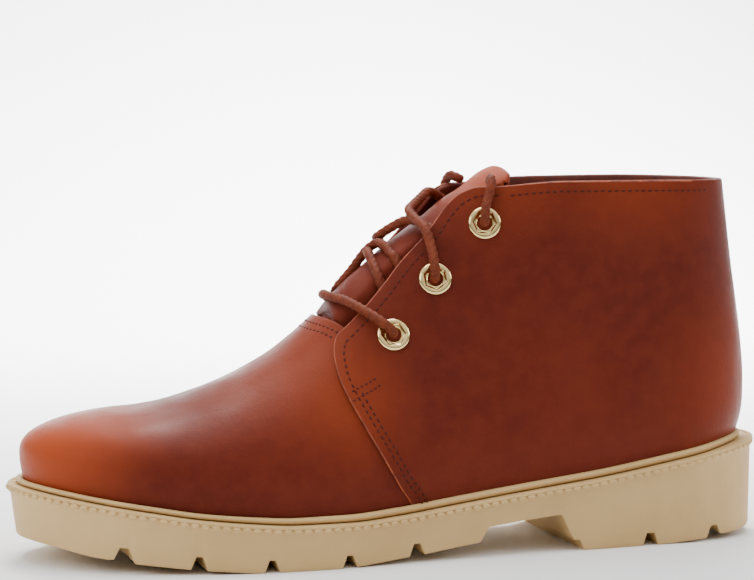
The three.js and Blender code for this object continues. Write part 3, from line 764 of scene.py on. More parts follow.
class BOOT_OT_stage(bpy.types.Operator):
    """Places the camera at the photograph's angle, a pale floor and soft studio light"""

    bl_idname = "boot.stage"
    bl_label = "Camera, floor and light"

    def execute(self, context):
        turn = math.radians(CAMERA["turn"])
        tilt = math.radians(CAMERA["tilt"])
        ahead = Vector((math.sin(turn), math.cos(turn), 0))
        right = Vector((math.cos(turn), -math.sin(turn), 0))
        up = Vector((0, 0, 1))
        look = ahead * math.cos(tilt) - up * math.sin(tilt)
        over = up * math.cos(tilt) + ahead * math.sin(tilt)
        place = -ahead * CAMERA["distance"] + up * CAMERA["height"] + right * CAMERA["aside"]
        data = bpy.data.cameras.new("camera")
        data.lens = LENS["length"]
        data.sensor_width = LENS["sensor"]
        data.sensor_fit = "HORIZONTAL"
        camera = bpy.data.objects.new("camera", data)
        camera.matrix_world = Matrix.Translation(place) @ Matrix((right, over, -look)).transposed().to_4x4()
        context.scene.collection.objects.link(camera)
        context.scene.camera = camera

        bm = bmesh.new()
        bmesh.ops.create_grid(bm, x_segments=1, y_segments=60, size=3)
        for vert in bm.verts:
            run = vert.co.y - SWEEP["start"]
            turn = min(max(run / SWEEP["radius"], 0), math.pi / 2)
            if run > 0:
                rise = max(run - SWEEP["radius"] * math.pi / 2, 0)
                vert.co.y = SWEEP["start"] + SWEEP["radius"] * math.sin(turn)
                vert.co.z = SWEEP["radius"] * (1 - math.cos(turn)) + rise
        mesh = bpy.data.meshes.new("floor")
        bm.to_mesh(mesh)
        bm.free()
        mesh.polygons.foreach_set("use_smooth", [True] * len(mesh.polygons))
        floor = bpy.data.objects.new("floor", mesh)
        context.scene.collection.objects.link(floor)
        material, nodes, links, surface = shader("pale floor")
        surface.inputs["Base Color"].default_value = (0.88, 0.88, 0.88, 1)
        surface.inputs["Roughness"].default_value = 0.9
        surface.inputs["Specular IOR Level"].default_value = 0.1
        # Seen from behind the curve is clear, so the boot shows from every side
        side = nodes.new("ShaderNodeNewGeometry")
        clear = nodes.new("ShaderNodeBsdfTransparent")
        either = nodes.new("ShaderNodeMixShader")
        links.new(side.outputs["Backfacing"], either.inputs[0])
        links.new(surface.outputs[0], either.inputs[1])
        links.new(clear.outputs[0], either.inputs[2])
        links.new(either.outputs[0], nodes["Material Output"].inputs["Surface"])
        mesh.materials.append(material)

        context.scene.world = self.studio()
        boxes = (
            ("overhead", (-0.1, 0.0, 1.1), (0, 0, 0.05), 0.8, 9.0, 180),
            ("toe side", (-0.95, -0.35, 0.6), (-0.08, 0, 0.05), 0.45, 4.0, 180),
            ("heel side", (0.95, -0.3, 0.55), (0.08, 0, 0.08), 0.4, 3.0, 180),
            ("sweep", (0.3, 1.2, 1.3), (0.3, 1.05, 0), 1.0, 60.0, 70),
        )
        for name, where, target, size, power, spread_angle in boxes:
            light = bpy.data.lights.new(name, "AREA")
            light.spread = math.radians(spread_angle)
            light.size = size
            light.energy = power
            lamp = bpy.data.objects.new(name, light)
            lamp.location = where
            aim = Vector(target) - Vector(where)
            lamp.rotation_euler = aim.to_track_quat("-Z", "Y").to_euler()
            context.scene.collection.objects.link(lamp)
        return {"FINISHED"}

    def studio(self):
        """Soft light from overhead, and a dim room all round."""
        world = bpy.data.worlds.new("studio")
        world.use_nodes = True
        nodes, links = world.node_tree.nodes, world.node_tree.links
        place = nodes.new("ShaderNodeTexCoord")
        parts = nodes.new("ShaderNodeSeparateXYZ")
        links.new(place.outputs["Generated"], parts.inputs[0])
        above = ramp(nodes, links, parts.outputs["Z"], 0.0, 0.9, 0.22, 1.15)
        links.new(above, nodes["Background"].inputs["Strength"])
        nodes["Background"].inputs["Color"].default_value = (1, 1, 1, 1)
        return world


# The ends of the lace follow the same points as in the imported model
END_OUTER = [
    (114.7, -19.8, 120.3), (115.5, -22.8, 121.0), (116.1, -25.2, 121.6), (116.3, -26.3, 122.6),
    (116.4, -26.9, 124.2), (116.3, -26.7, 126.0), (115.7, -25.9, 128.2), (114.4, -24.7, 131.4),
    (113.3, -23.9, 134.6), (112.6, -22.0, 136.8), (112.1, -19.6, 137.5), (111.5, -17.5, 136.6),
    (111.0, -17.0, 134.8), (110.8, -17.2, 133.4),
]
END_INNER = [
    (114.7, 19.8, 120.3), (115.5, 22.8, 121.0), (116.1, 25.2, 121.6), (116.4, 26.4, 122.6),
    (116.7, 27.0, 124.2), (116.9, 26.8, 126.0), (116.9, 26.0, 128.2), (116.5, 24.8, 131.2),
    (116.0, 23.6, 134.2), (115.5, 21.8, 136.5), (115.0, 19.6, 137.4), (113.9, 17.6, 136.9),
    (112.2, 16.7, 136.1), (110.8, 16.5, 135.5),
]
BRAID = (4, 2.6, 0.13)  # strands, pitch and depth of the twist


class BOOT_OT_lace_ends(bpy.types.Operator):
    """Lays the two short lace ends over the facings"""

    bl_idname = "boot.lace_ends"
    bl_label = "Lace ends"

    def execute(self, context):
        diameter = context.scene.boot_lacing.diameter
        for name, route in (("lace_end_outer", END_OUTER), ("lace_end_inner", END_INNER)):
            bm = grid(tube(route, diameter * 500, twist=BRAID), uv=True)
            close(bm)
            obj = piece(name + "_braid", bm, [braid()], "lace", name)
            path = to_frame(smooth_path(route))
            path_length(path)
        return {"FINISHED"}


# Sole
def lines(rows, along, name):
    x, y = np.array(rows[along], float), np.array(rows[name], float)
    return lambda at: np.interp(at, x, y)


sole_draft = lines(SOLE_BOTTOM, "back", "draft")
plain_bottom = lines(SOLE_BOTTOM, "back", "bottom")


def tread_level(back):
    """The underside with its grooves."""
    level = plain_bottom(back)
    for middle, mouth, roof, top in GROOVES:
        away = np.abs(back - middle)
        share = np.clip((mouth - away) / (mouth - roof), 0, 1)
        level = np.where(away < mouth, mix(plain_bottom(back), top, share), level)
    return level


def sole_stations():
    """Places along the sole, close together at its round ends and at each groove."""
    quarter = np.linspace(0, math.pi / 2, 46)
    heel = HEEL_CENTRE * (1 - np.cos(quarter))
    toe = TOE_CENTRE + (LENGTH - TOE_CENTRE) * np.sin(quarter)
    straight = np.arange(HEEL_CENTRE, TOE_CENTRE, 0.62)
    corners = list(SOLE_BOTTOM["back"])
    for middle, mouth, roof, _ in GROOVES:
        corners += [middle - mouth, middle - roof, middle + roof, middle + mouth]
    fine_ends = np.concatenate([np.arange(8, 42, 0.62), np.arange(243, 280, 0.62)])
    every = np.unique(np.round(np.concatenate([heel, toe, straight, fine_ends, corners]), 3))
    kept = [every[0]]
    for value in every[1:]:
        if value - kept[-1] > 0.12 or value in corners:
            kept.append(value)
    return np.array(kept)


def sole_point(back, side, inset):
    heel = np.maximum(0, (HEEL_CENTRE - back) / HEEL_CENTRE)
    toe = np.maximum(0, (back - TOE_CENTRE) / (LENGTH - TOE_CENTRE))
    width = plan_outer(back) if side == OUTER else plan_inner(back)
    y = centre_line(back) + side * width * np.sqrt(np.clip(1 - heel**2 - toe**2, 0, 1))
    middle = np.clip(back, HEEL_CENTRE, TOE_CENTRE)
    axis = centre_line(back)
    away = np.hypot(back - middle, y - axis)
    keep = 1 - inset / np.maximum(away, 1e-6)
    return mix(middle, back, keep), mix(axis, y, keep)


class BOOT_OT_sole(bpy.types.Operator):
    """Moulds the rubber sole: ledge, ribbed rim, wall, heel and grooved tread"""

    bl_idname = "boot.sole"
    bl_label = "Sole"

    def execute(self, context):
        own = context.scene.boot_sole
        pitch, depth = own.rib_pitch * 1000, own.rib_depth * 1000
        stations = sole_stations()
        outer, inner = self.half(stations, OUTER), self.half(stations, INNER)
        around = np.concatenate([outer, inner[:, ::-1][:, 1:]], axis=1)
        bm = grid(around)
        close(bm, 5e-6)
        rows = [self.bumps(side, pitch, depth) for side in (OUTER, INNER)]
        piece("sole_moulding", join_grids([bm, *rows]), [rubber()], "rubber", "outsole", sharp=38)
        return {"FINISHED"}

    def bumps(self, side, pitch, depth):
        """Small crescents in a row round the rim, standing out less towards the heel."""
        stations = np.concatenate([
            HEEL_CENTRE * (1 - np.cos(np.linspace(0.25, math.pi / 2, 30))),
            np.linspace(HEEL_CENTRE, TOE_CENTRE, 200)[1:],
            TOE_CENTRE + (LENGTH - TOE_CENTRE) * np.sin(np.linspace(0, math.pi / 2 - 0.02, 60))[1:],
        ])
        bm = bmesh.new()
        edge = stack(*sole_point(stations, side, 0.3), sole_top(stations) - 1.8)
        run = along_path(edge, round(path_length(edge) / pitch) + 1)
        for before, after in zip(run, run[1:]):
            middle = (before + after) / 2
            ahead = Vector(to_frame(after) - to_frame(before)).normalized()
            up = Vector((0, 0, 1))
            out = ahead.cross(up).normalized() * (-side if ahead.x > 0 else side)
            up = out.cross(ahead).normalized()
            stand = depth * mix(0.55, 1.0, float(ease(20, 110, middle[0])))
            size = Matrix.Diagonal((pitch * 0.00046, stand * 0.001, 0.00095, 1))
            turn = Matrix((ahead, out, up)).transposed().to_4x4()
            bmesh.ops.create_uvsphere(
                bm, u_segments=8, v_segments=6, radius=1,
                matrix=Matrix.Translation(Vector(to_frame(middle))) @ turn @ size,
            )
        return bm

    def half(self, stations, side):
        """Section rows of one side, from the middle of the top round to the middle of the tread."""
        top = sole_top(stations)
        foot = tread_level

        def row(inset, level):
            back, y = sole_point(stations, side, np.broadcast_to(inset, stations.shape))
            return stack(back, y, level(back) if callable(level) else level)

        rim = RIM_HEIGHT
        draft = sole_draft(stations)
        rows = []
        middle = stack(*sole_point(stations, side, 24.0))
        for share in (0.0, 0.5, 1.0):
            y = mix(centre_line(middle[:, 0]), middle[:, 1], share)
            rows.append(stack(middle[:, 0], y, sole_top(middle[:, 0])))
        for inset in (9.0, 4.6, 2.4):
            rows.append(row(inset, sole_top))
        rows.append(row(2.1, lambda b: sole_top(b) - 0.35))
        rows.append(row(1.75, lambda b: sole_top(b) - 0.35))
        rows.append(row(1.4, lambda b: sole_top(b)))
        rows.append(row(0.6, lambda b: sole_top(b) + 0.05))
        rows.append(row(0.2, top - 0.12))
        rows.append(row(0.0, top - 0.45))
        rows.append(row(0.0, top - 0.9))
        rows.append(row(0.2, top - 1.15))
        rows.append(row(0.45, top - 1.25))
        rows.append(row(0.5, top - rim))
        rows.append(row(0.75, top - rim - 0.35))
        rows.append(row(RIM_STEP, top - rim - RIM_STEP))
        for share in (0.06, 0.25, 0.5, 0.75, 0.92):
            low = foot(stations)
            level = mix(top - rim - RIM_STEP, low, share)
            rows.append(row(RIM_STEP + draft * share, level))
        rows.append(row(RIM_STEP + draft * 0.98, foot(stations) + 0.3))
        rows.append(row(RIM_STEP + draft + 0.1, lambda b: foot(b) + 0.08))
        rows.append(row(RIM_STEP + draft + 0.4, foot))
        for inset in (6.0, 12.0, 20.0):
            rows.append(row(inset, foot))
        low = stack(*sole_point(stations, side, 24.0))
        for share in (1.0, 0.5, 0.0):
            y = mix(centre_line(low[:, 0]), low[:, 1], share)
            rows.append(stack(low[:, 0], y, foot(low[:, 0])))
        return np.stack(rows, axis=1)


class BOOT_OT_welt(bpy.types.Operator):
    """Lays the moulded bead on the ledge, round the foot of the upper"""

    bl_idname = "boot.welt"
    bl_label = "Welt"

    def execute(self, context):
        count = 260
        bead = [(180, 1.5, 1.45), (215, 1.5, 1.45), (250, 1.5, 1.3), (290, 1.5, 1.3), (330, 1.5, 1.45)]
        bead += [(angle, 1.5, 1.45) for angle in (0, 25, 50, 75, 100, 125, 150, 180)]
        halves = []
        for side in (OUTER, INNER):
            places = spread(lambda s: foot_point(side, s)[1], 0.0, 3.0, count)
            _, at = foot_point(side, places)
            _, ahead = plan_ray(side, places)
            rows = []
            for angle, width, height in bead:
                out = 1.5 + GAP + width * math.cos(math.radians(angle))
                back = at[:, 0] + ahead[:, 0] * out
                rise = mix(1.0, 0.72, ease(150, 230, back)) * (1.2 + height * math.sin(math.radians(angle)))
                rows.append(stack(back, at[:, 1] + ahead[:, 1] * out, foot_level(back) + rise))
            halves.append(np.stack(rows, axis=1))
        ring = np.concatenate([halves[0], halves[1][::-1][1:]], axis=0)
        bm = grid(ring)
        close(bm)
        piece("welt_bead", bm, [rubber()], "rubber", "welt")
        return {"FINISHED"}


class BOOT_OT_insole(bpy.types.Operator):
    """Lays the leather-covered insole inside the upper"""

    bl_idname = "boot.insole"
    bl_label = "Insole"

    def execute(self, context):
        stations = sole_stations()[::4]
        if stations[-1] != LENGTH:
            stations = np.append(stations, LENGTH)
        inset = LEDGE + FEATHER_PULL + WALL + 1.6
        rows = []
        for side in (OUTER, INNER):
            half = []
            for extra, lift in ((0.0, 0.35), (0.0, 2.2), (0.3, 2.7), (0.9, 3.0), (6.0, 3.0), (14.0, 2.8)):
                back, y = sole_point(stations, side, inset + extra)
                half.append(stack(back, y, foot_level(back) + lift))
            rows.append(half)
        low = stack(*sole_point(stations, OUTER, inset + 14.0))
        under = stack(low[:, 0], centre_line(low[:, 0]), foot_level(low[:, 0]) + 0.35)
        middle = stack(low[:, 0], centre_line(low[:, 0]), foot_level(low[:, 0]) + 2.8)
        section = [under, *rows[0], middle, *rows[1][::-1], under]
        bm = grid(np.stack(section, axis=1))
        close(bm, 5e-6)
        piece("insole_cover", bm, [lining()], "lining", "insole")
        return {"FINISHED"}


# Upper
def eyelet_seat(number, side):
    back, level, _ = EYELETS[number]
    face = on_form(np.array([back]), np.array([level]), side)
    return face[0], outwards(face)[0]


def seat_point(number, side, lift):
    face, out = eyelet_seat(number, side)
    return tuple(face + out * lift)


def clear_holes(points, side):
    """Moves the places near each eyelet's axis out to the edge of its hole."""
    moved = points.copy()
    for number in range(len(EYELETS)):
        face, out = eyelet_seat(number, side)
        apart = points - face
        depth = (apart * out).sum(axis=-1, keepdims=True)
        aside = apart - depth * out
        away = np.linalg.norm(aside, axis=-1, keepdims=True)
        inside = (away < HOLE) & (np.abs(depth) < 12)
        moved = np.where(inside, points + aside * (HOLE / np.maximum(away, 1e-6) - 1), moved)
    return moved


def open_holes(bm, side):
    """Takes out the faces within each eyelet's hole and walls the hole."""
    for number in range(len(EYELETS)):
        face, out = eyelet_seat(number, side)
        middle = Vector(to_frame(face))
        axis = Vector((-out[0], out[1], out[2]))
        near = set()
        for vert in bm.verts:
            apart = vert.co - middle
            depth = apart.dot(axis)
            if abs(depth) < 0.012 and (apart - axis * depth).length < (HOLE + 0.02) / 1000:
                near.add(vert)
        inside = [f for f in bm.faces if all(v in near for v in f.verts)]
        bmesh.ops.delete(bm, geom=inside, context="FACES")
        rim = [e for e in bm.edges if e.is_boundary and all(v in near for v in e.verts)]
        bmesh.ops.bridge_loops(bm, edges=rim)
    bmesh.ops.recalc_face_normals(bm, faces=bm.faces)


def rolled_edge(top, below, out, thickness, steps=5):
    """Half round between a wall's two faces, past its edge; the wall lies inside the face."""
    rise = top - below
    rise -= out * (rise * out).sum(axis=1, keepdims=True)
    rise /= np.linalg.norm(rise, axis=1, keepdims=True)
    centre = top - out * thickness / 2
    rows = []
    for angle in np.linspace(0, math.pi, steps + 2)[1:-1]:
        rows.append(centre + (out * math.cos(angle) + rise * math.sin(angle)) * thickness / 2)
    return np.stack(rows, axis=1)


def soft_relief(points):
    """Shallow troughs and swells of the leather at listed places, as heights in millimetres."""
    back, y, z = points[..., 0], points[..., 1], points[..., 2]
    relief = np.zeros(back.shape)
    for centre, along, spread_z, height in (
        ((205, 0, 60), 11, 60, -0.35),
        ((222, 0, 56), 9, 60, 0.15),
        ((188, 0, 66), 9, 60, 0.2),
    ):
        relief += height * np.exp(-(((back - centre[0]) / along) ** 2) - ((z - centre[2]) / spread_z) ** 2)
    return relief


class BOOT_OT_upper(bpy.types.Operator):
    """Shapes the vamp and the lined shaft as one open shell"""

    bl_idname = "boot.upper"
    bl_label = "Upper"

    def execute(self, context):
        outer = clear_holes(side_columns(OUTER), OUTER)
        inner = clear_holes(side_columns(INNER), INNER)
        ring = np.concatenate([outer, inner[::-1][1:]], axis=0)
        out = outwards(ring)
        face = ring + out * soft_relief(ring)[..., None]
        back_face = (ring - out * WALL)[:, ::-1]
        rim = rolled_edge(ring[:, -1], ring[:, -2], out[:, -1], WALL)
        bm = grid(np.concatenate([face, rim, back_face, face[:, :1]], axis=1))
        columns, outside = ring.shape[0] - 1, face.shape[1] + rim.shape[1] - 2
        for index, surface in enumerate(bm.faces):
            if index // columns >= outside:
                surface.material_index = 1
        close(bm)
        for side in (OUTER, INNER):
            open_holes(bm, side)
        piece("upper_shell", bm, [leather(), lining()], "leather", "upper")
        return {"FINISHED"}


def chart(side, s, level):
    """Places on the form from a place round the heel and along the side, and a level."""
    angle = np.minimum(s, 1) * math.pi / 2
    back = HEEL_CENTRE + np.maximum(s - 1, 0) * (TOE_CENTRE - HEEL_CENTRE)
    start = stack(back, 0, level)
    return leave(start, stack(back - np.cos(angle), side * np.sin(angle), level))


def front_edge():
    """The quarter's front edge in side view, from the collar down the facing and the seam."""
    return smooth_path(list(zip(FACING["back"], FACING["level"])) + SEAM[::-1][1:], 16)


def quarter_places(side, columns, rows):
    """Places on the form between the quarter's foot and its edge round the collar and the front."""
    s = np.linspace(0, foot_place(SEAM[0][0]), 200)
    level = foot_level(np.full(s.shape, HEEL_CENTRE)) + 1.5
    for _ in range(4):
        level = foot_level(chart(side, s, level)[..., 0]) + 1.5
    foot = stack(s * 60, level)
    s = np.linspace(0, foot_place(FACING_TOP), 100)[:-1]
    back = HEEL_CENTRE + np.where(s < 1, -28 * np.cos(s * math.pi / 2), (s - 1) * 201)
    collar = stack(s * 60, collar_level(back))
    front = front_edge()
    front = stack(foot_place(front[:, 0]) * 60, front[:, 1])
    front[-1] = foot[-1]
    edge = np.concatenate([collar, front])
    weigh = [3.3, 1]
    foot = along_path(foot * weigh, columns + 1) / weigh
    edge = along_path(edge * weigh, columns + 1) / weigh
    share = np.sin(np.linspace(0, 1, rows + 1) * math.pi / 2)[None, :, None]
    patch = mix(foot[:, None], edge[:, None], share)
    return chart(side, patch[..., 0] / 60, patch[..., 1])


class BOOT_OT_quarters(bpy.types.Operator):
    """Lays the two quarters over the shaft, with cut edges at the front and the collar"""

    bl_idname = "boot.quarters"
    bl_label = "Quarters"

    def execute(self, context):
        for name, side in (("quarter_outer", OUTER), ("quarter_inner", INNER)):
            columns, rows = 190, 90
            face = clear_holes(quarter_places(side, columns, rows), side)
            out = outwards(face)
            foot = foot_level(face[..., 0])
            lift = mix(0.75, QUARTER_FACE, ease(foot + 2, foot + 16, face[..., 2]))[..., None]
            outer, inner = face + out * lift, face + out * (lift - QUARTER_THICK)
            rim = rolled_edge(outer[:, -1], outer[:, -2], out[:, -1], QUARTER_THICK)
            loop = np.concatenate([outer, rim, inner[:, ::-1], outer[:, :1]], axis=1)
            middle = (outer + inner) / 2
            tops = np.repeat(middle[:, -1:], rim.shape[1], axis=1)
            closing = np.concatenate([middle, tops, middle[:, ::-1], middle[:, :1]], axis=1)
            bm = grid(np.concatenate([closing[:1], loop, closing[-1:]], axis=0))
            front = columns * 0.42
            for index, surface in enumerate(bm.faces):
                column, row = index % (columns + 2), index // (columns + 2)
                if rows < row + 1 < rows + rim.shape[1] + 2 and column > front:
                    surface.material_index = 1
            close(bm)
            open_holes(bm, side)
            piece(name + "_leather", bm, [leather(), raw_edge()], "leather", name, sharp=50)
        return {"FINISHED"}


TONGUE = {
    "share": [0, 0.08, 0.22, 0.36, 0.46, 0.61, 0.75, 0.84, 0.92, 1],
    "back": [186, 179, 167, 154, 144.5, 131.4, 119.6, 113, 107, 102.5],
    "level": [75.4, 80.6, 91.5, 102, 110, 119.5, 129, 134.4, 139, 141],
    "half": [24, 25, 28, 28, 28, 28, 27, 25, 21, 14],
    "fall": [0.018, 0.019, 0.021, 0.019, 0.017, 0.014, 0.014, 0.015, 0.015, 0.012],
}
TONGUE_CLEAR = 5.2
TONGUE_THICK = 2.4


class BOOT_OT_tongue(bpy.types.Operator):
    """Shapes the tongue, which lies under the facings and rises above the collar"""

    bl_idname = "boot.tongue"
    bl_label = "Tongue"

    def execute(self, context):
        turn = np.linspace(-math.pi / 2, math.pi / 2, 90)
        t = (1 + np.sin(turn))[:, None] / 2
        share = np.sin(turn[::2])[None, :]
        back, level = (curve(TONGUE, "share", name)(t) for name in ("back", "level"))
        half, fall = (curve(TONGUE, "share", name)(t) for name in ("half", "fall"))
        y = share * half
        swell = 2.3 * np.exp(-((y / 13) ** 2)) * ease(113, 124, back) * ease(172, 158, back)
        middle = self.tucked(stack(back + 0 * y, y, level + swell - fall * y * y))
        normal = np.cross(np.gradient(middle, axis=0), np.gradient(middle, axis=1))
        normal /= np.linalg.norm(normal, axis=-1, keepdims=True)
        if normal[45, 22, 2] < 0:
            normal = -normal
        run = np.concatenate([[0], np.cumsum(np.linalg.norm(np.diff(middle[:, 22], axis=0), axis=1))])
        edge = np.minimum(half * (1 - np.abs(share)), np.minimum(run, run[-1] - run)[:, None])
        round_edge = np.sqrt(np.clip(1 - np.clip(1 - edge / TONGUE_THICK, 0, 1) ** 2, 0, 1))
        lift = normal * (round_edge * TONGUE_THICK / 2)[..., None]
        bm = grid(np.concatenate([middle + lift, (middle - lift)[:, ::-1]], axis=1))
        close(bm)
        piece("tongue_leather", bm, [tongue_leather()], "leather", "tongue")
        return {"FINISHED"}

    def tucked(self, points):
        """Keeps the tongue under the facings and the vamp; in the open throat it may rise."""
        back, y = points[..., 0], points[..., 1]
        along = np.clip(back, FACING_TOP, THROAT_CORNER)
        edge = np.abs(on_form(along, facing_level(along), OUTER)[..., 1])
        open_share = ease(edge - 3, edge - 8, np.abs(y)) * ease(THROAT_MIDDLE - 2, THROAT_MIDDLE - 7, back)
        clear = mix(TONGUE_CLEAR, 0.4, ease(THROAT_MIDDLE - 6, THROAT_MIDDLE + 3, back))
        start = stack(back, 0, points[..., 2] - 25)
        limit = lifted(leave(start, points), -mix(WALL + clear, 0.3, open_share))
        reach = np.linalg.norm(limit - start, axis=-1)
        own = np.linalg.norm(points - start, axis=-1)
        return np.where((reach < own)[..., None], limit, points)


class BOOT_OT_eyelets(bpy.types.Operator):
    """Sets six polished eyelets, each with a six-sided recess round its hole"""

    bl_idname = "boot.eyelets"
    bl_label = "Eyelets"

    def execute(self, context):
        for side, label in ((OUTER, "outer"), (INNER, "inner")):
            for number in range(len(EYELETS)):
                face, out = eyelet_seat(number, side)
                bm = grid(self.shape(face, out, EYELETS[number][2], side))
                close(bm)
                node = f"eyelet_{label}_{number + 1}"
                piece(node + "_gold", bm, [gold()], "metal", node, sharp=35)
        return {"FINISHED"}

    def shape(self, face, out, turn, side):
        """Rings round the eyelet's axis, from under the flange over the recess and down the tube."""
        angle = np.linspace(0, 2 * math.pi, 73)
        corner = (angle - math.radians(turn)) % (math.pi / 3) - math.pi / 6
        hexagon = 4.0 / np.cos(corner)
        base = QUARTER_FACE
        inside = -(WALL + 0.7)
        profile = [
            (3.1, base), (5.6, base), (5.95, base + 0.25), (5.95, base + 0.6), (5.7, base + 0.95),
            (5.3, base + 1.1), (hexagon + 0.25, base + 1.15), (hexagon, base + 1.05),
            (hexagon * 0.97, base + 0.5), (mix(hexagon, 3.2, 0.5), base + 0.28), (3.15, base + 0.2),
            (2.95, base + 0.3), (2.7, base + 0.15), (2.62, base - 0.4), (2.6, inside - 0.3),
            (3.0, inside - 0.55), (3.8, inside - 0.5), (4.2, inside - 0.2), (4.2, inside),
            (3.1, inside), (3.1, base),
        ]
        up = np.array([0.0, 0.0, 1.0]) - out * out[2]
        up /= np.linalg.norm(up)
        right = np.cross(up, out)
        spoke = np.cos(angle)[:, None] * up + np.sin(angle)[:, None] * right
        rings = [face + spoke * np.broadcast_to(r, angle.shape)[:, None] + out * h for r, h in profile]
        return np.stack(rings, axis=1)


def lacing_routes():
    """The lace from eyelet to eyelet: each stretch comes up from inside the boot and ends there."""
    def under(back, level, side, lift=-3.9):
        return tuple(on_form(np.array([back]), np.array([level]), side, lift)[0])

    bar_half = [
        (151.5, -24.4, 80.1), (151.9, -28.0, 81.3), (152.3, -29.8, 82.2), (153.4, -30.7, 83.5),
        (155.6, -30.7, 85.5), (158.9, -27.9, 88.0), (162.8, -22.9, 90.8), (166.2, -15.0, 93.0),
        (169.0, -7.0, 93.8),
    ]
    bar = bar_half + [(170.2, 0, 94.2)] + [(back, -y, z) for back, y, z in bar_half[::-1]]
    from_outer = [
        seat_point(2, OUTER, -3.0), under(151.9, 84.0, OUTER, -4.6), under(152.8, 91.0, OUTER),
        under(153.2, 96.5, OUTER, -3.6), (153.4, -13.6, 101.4), (153.9, -9.0, 105.6),
        (154.0, -2.0, 109.4), (152.2, 4.8, 109.6), (149.6, 10.4, 107.2),
        under(146.5, 103.0, INNER, -3.6), under(140.0, 101.0, INNER, -4.6), seat_point(1, INNER, -3.4),
        seat_point(1, INNER, 0.0), (135.2, 25.9, 101.5), (135.8, 27.2, 102.2), (137.2, 27.9, 104.6),
        (140.4, 23.8, 109.4), (144.8, 17.2, 113.8), (147.6, 9.0, 114.6), (148.4, 3.6, 115.6),
        (144.8, 0.4, 118.6), (140.2, -3.8, 121.6), (136.6, -8.6, 121.6), (134.6, -11.8, 119.8),
        under(131.5, 119.0, OUTER, -3.6), under(123.0, 119.5, OUTER, -4.6), seat_point(0, OUTER, -3.2),
    ]
    from_inner = [
        seat_point(2, INNER, -3.0), under(155.0, 85.0, INNER, -4.6), under(160.0, 88.5, INNER),
        (162.6, 12.6, 93.4), (163.2, 8.2, 96.2), (158.4, 7.2, 102.0), (153.2, 5.0, 109.6),
        (149.8, 1.6, 112.9), (148.4, -4.0, 112.4), (147.2, -9.0, 109.6), (146.6, -12.0, 108.4),
        under(145.4, 103.4, OUTER, -3.6), under(140.0, 101.0, OUTER, -4.6), seat_point(1, OUTER, -3.4),
        seat_point(1, OUTER, 0.0), (135.2, -25.9, 101.5), (135.6, -27.0, 102.6), (135.9, -27.8, 104.5),
        (136.0, -27.0, 107.4), (136.2, -24.2, 112.4), (137.2, -18.9, 119.6), (138.4, -9.6, 122.8),
        (138.4, -3.0, 125.4), (135.2, 2.4, 127.0), (130.6, 7.4, 129.6), (126.2, 11.0, 131.6),
        under(121.0, 129.5, INNER, -3.6), under(117.5, 125.0, INNER, -4.4), seat_point(0, INNER, -3.2),
    ]
    return bar, from_outer, from_inner


class BOOT_OT_lacing(bpy.types.Operator):
    """Laces the boot through its eyelets, with a straight bar at the throat"""

    bl_idname = "boot.lacing"
    bl_label = "Lacing"

    def execute(self, context):
        radius = context.scene.boot_lacing.diameter * 500
        bar, from_outer, from_inner = lacing_routes()
        bm = grid(tube(bar, radius, twist=BRAID), uv=True)
        close(bm)
        piece("lacing_bar", bm, [braid()], "lace", "lace_bar")
        grids = []
        for route in (from_outer, from_inner):
            bm = grid(tube(route, radius, twist=BRAID), uv=True)
            close(bm)
            grids.append(bm)
        piece("lacing_crossings", join_grids(grids), [braid()], "lace", "lace_crossings")
        return {"FINISHED"}


# Stitching
NEEDLE_BAR = (
    [(159.9, 65.9), (163.4, 64.1), (167.0, 62.6), (169.8, 61.2)],
    [(158.5, 63.7), (161.6, 61.9), (165.6, 60.1), (169.9, 58.0)],
)


def stitch_rows():
    """Rows of stitches as paths on the leather, with their pitch and stitch length."""
    rows = []
    front = front_edge()[::-1]
    away = np.gradient(front, axis=0)
    away = np.stack([-away[:, 1], away[:, 0]], axis=1) / np.linalg.norm(away, axis=1, keepdims=True)
    seam = front[:, 1] < 60
    for side in (OUTER, INNER):
        for chosen, inset in ((front[:, 0] > 0, 3.0), (seam, 5.0)):
            row = front[chosen] + away[chosen] * inset
            rows.append((on_form(row[:, 0], row[:, 1], side, QUARTER_FACE), 2.7, 1.9))
        back = np.linspace(106, 30, 120)
        rows.append((on_form(back, collar_level(back) - 3.3, side, QUARTER_FACE), 2.6, 1.9))
        for bar in NEEDLE_BAR:
            row = np.array(bar)
            rows.append((on_form(row[:, 0], row[:, 1], side, QUARTER_FACE), 1.9, 1.2))
        t = np.linspace(0.04, 1, 40)
        for inset in (2.2, 4.4):
            back = mix(THROAT_CORNER, THROAT_MIDDLE, 1 - (1 - t) ** 2) + inset
            y = side * THROAT_HALF * (1 - t)
            low = foot_level(back) + WIDEST_ABOVE
            rows.append((leave(stack(back, y, low), stack(back, y, low + 1)), 2.4, 1.6))
    return rows


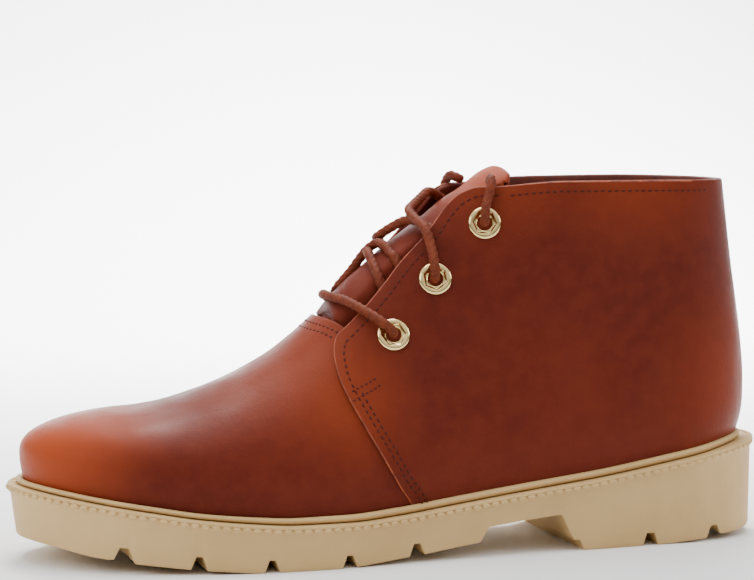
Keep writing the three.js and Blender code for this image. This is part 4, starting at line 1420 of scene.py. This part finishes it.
class BOOT_OT_stitching(bpy.types.Operator):
    """Sews the rows along the quarters, the collar and the throat"""

    bl_idname = "boot.stitching"
    bl_label = "Stitching"

    def execute(self, context):
        rows = [self.row(*row) for row in stitch_rows()]
        piece("stitching_thread", join_grids(rows), [thread()], "lace")
        return {"FINISHED"}

    def row(self, path, pitch, length, radius=0.4):
        bm = bmesh.new()
        count = max(2, round(path_length(path) / pitch))
        points = to_frame(along_path(path, count * 4 + 1))
        outs = outwards(along_path(path, count * 4 + 1))
        for i in range(count):
            a, b = points[4 * i + 1], points[4 * i + 3]
            out = outs[4 * i + 2]
            run = Vector(b - a).normalized()
            up = Vector((-out[0], out[1], out[2]))
            side = run.cross(up).normalized()
            up = side.cross(run)
            turn = Matrix((run, side, up)).transposed().to_4x4()
            size = Matrix.Diagonal((length / 2000, radius / 1000, radius / 1000 * 0.7, 1))
            bmesh.ops.create_uvsphere(
                bm, u_segments=8, v_segments=5, radius=1,
                matrix=Matrix.Translation(Vector((a + b) / 2)) @ turn @ size,
            )
        return bm


class BOOT_PT_sidebar(bpy.types.Panel):
    """Lists the boot's pieces and settings"""

    bl_idname = "BOOT_PT_sidebar"
    bl_label = "Chukka boot"
    bl_space_type = "VIEW_3D"
    bl_region_type = "UI"
    bl_category = "Boot"

    def draw(self, context):
        layout = self.layout
        for operator in OPERATORS:
            layout.operator(operator.bl_idname)
        for group in ("boot_leather", "boot_sole", "boot_lacing"):
            box = layout.box()
            owner = getattr(context.scene, group)
            for name in owner.__annotations__:
                box.prop(owner, name)


GROUPS = {"boot_leather": BootLeather, "boot_sole": BootSole, "boot_lacing": BootLacing}
OPERATORS = (
    BOOT_OT_stage,
    BOOT_OT_lace_ends,
    BOOT_OT_sole,
    BOOT_OT_welt,
    BOOT_OT_insole,
    BOOT_OT_upper,
    BOOT_OT_quarters,
    BOOT_OT_tongue,
    BOOT_OT_eyelets,
    BOOT_OT_lacing,
    BOOT_OT_stitching,
)


def register():
    for cls in (*GROUPS.values(), *OPERATORS, BOOT_PT_sidebar):
        bpy.utils.register_class(cls)
    for name, cls in GROUPS.items():
        setattr(bpy.types.Scene, name, bpy.props.PointerProperty(type=cls))


def unregister():
    for name in GROUPS:
        delattr(bpy.types.Scene, name)
    for cls in (BOOT_PT_sidebar, *reversed(OPERATORS), *reversed(list(GROUPS.values()))):
        bpy.utils.unregister_class(cls)


def main():
    register()
    for operator in OPERATORS:
        group, name = operator.bl_idname.split(".")
        getattr(getattr(bpy.ops, group), name)()


if __name__ == "__main__":
    main()
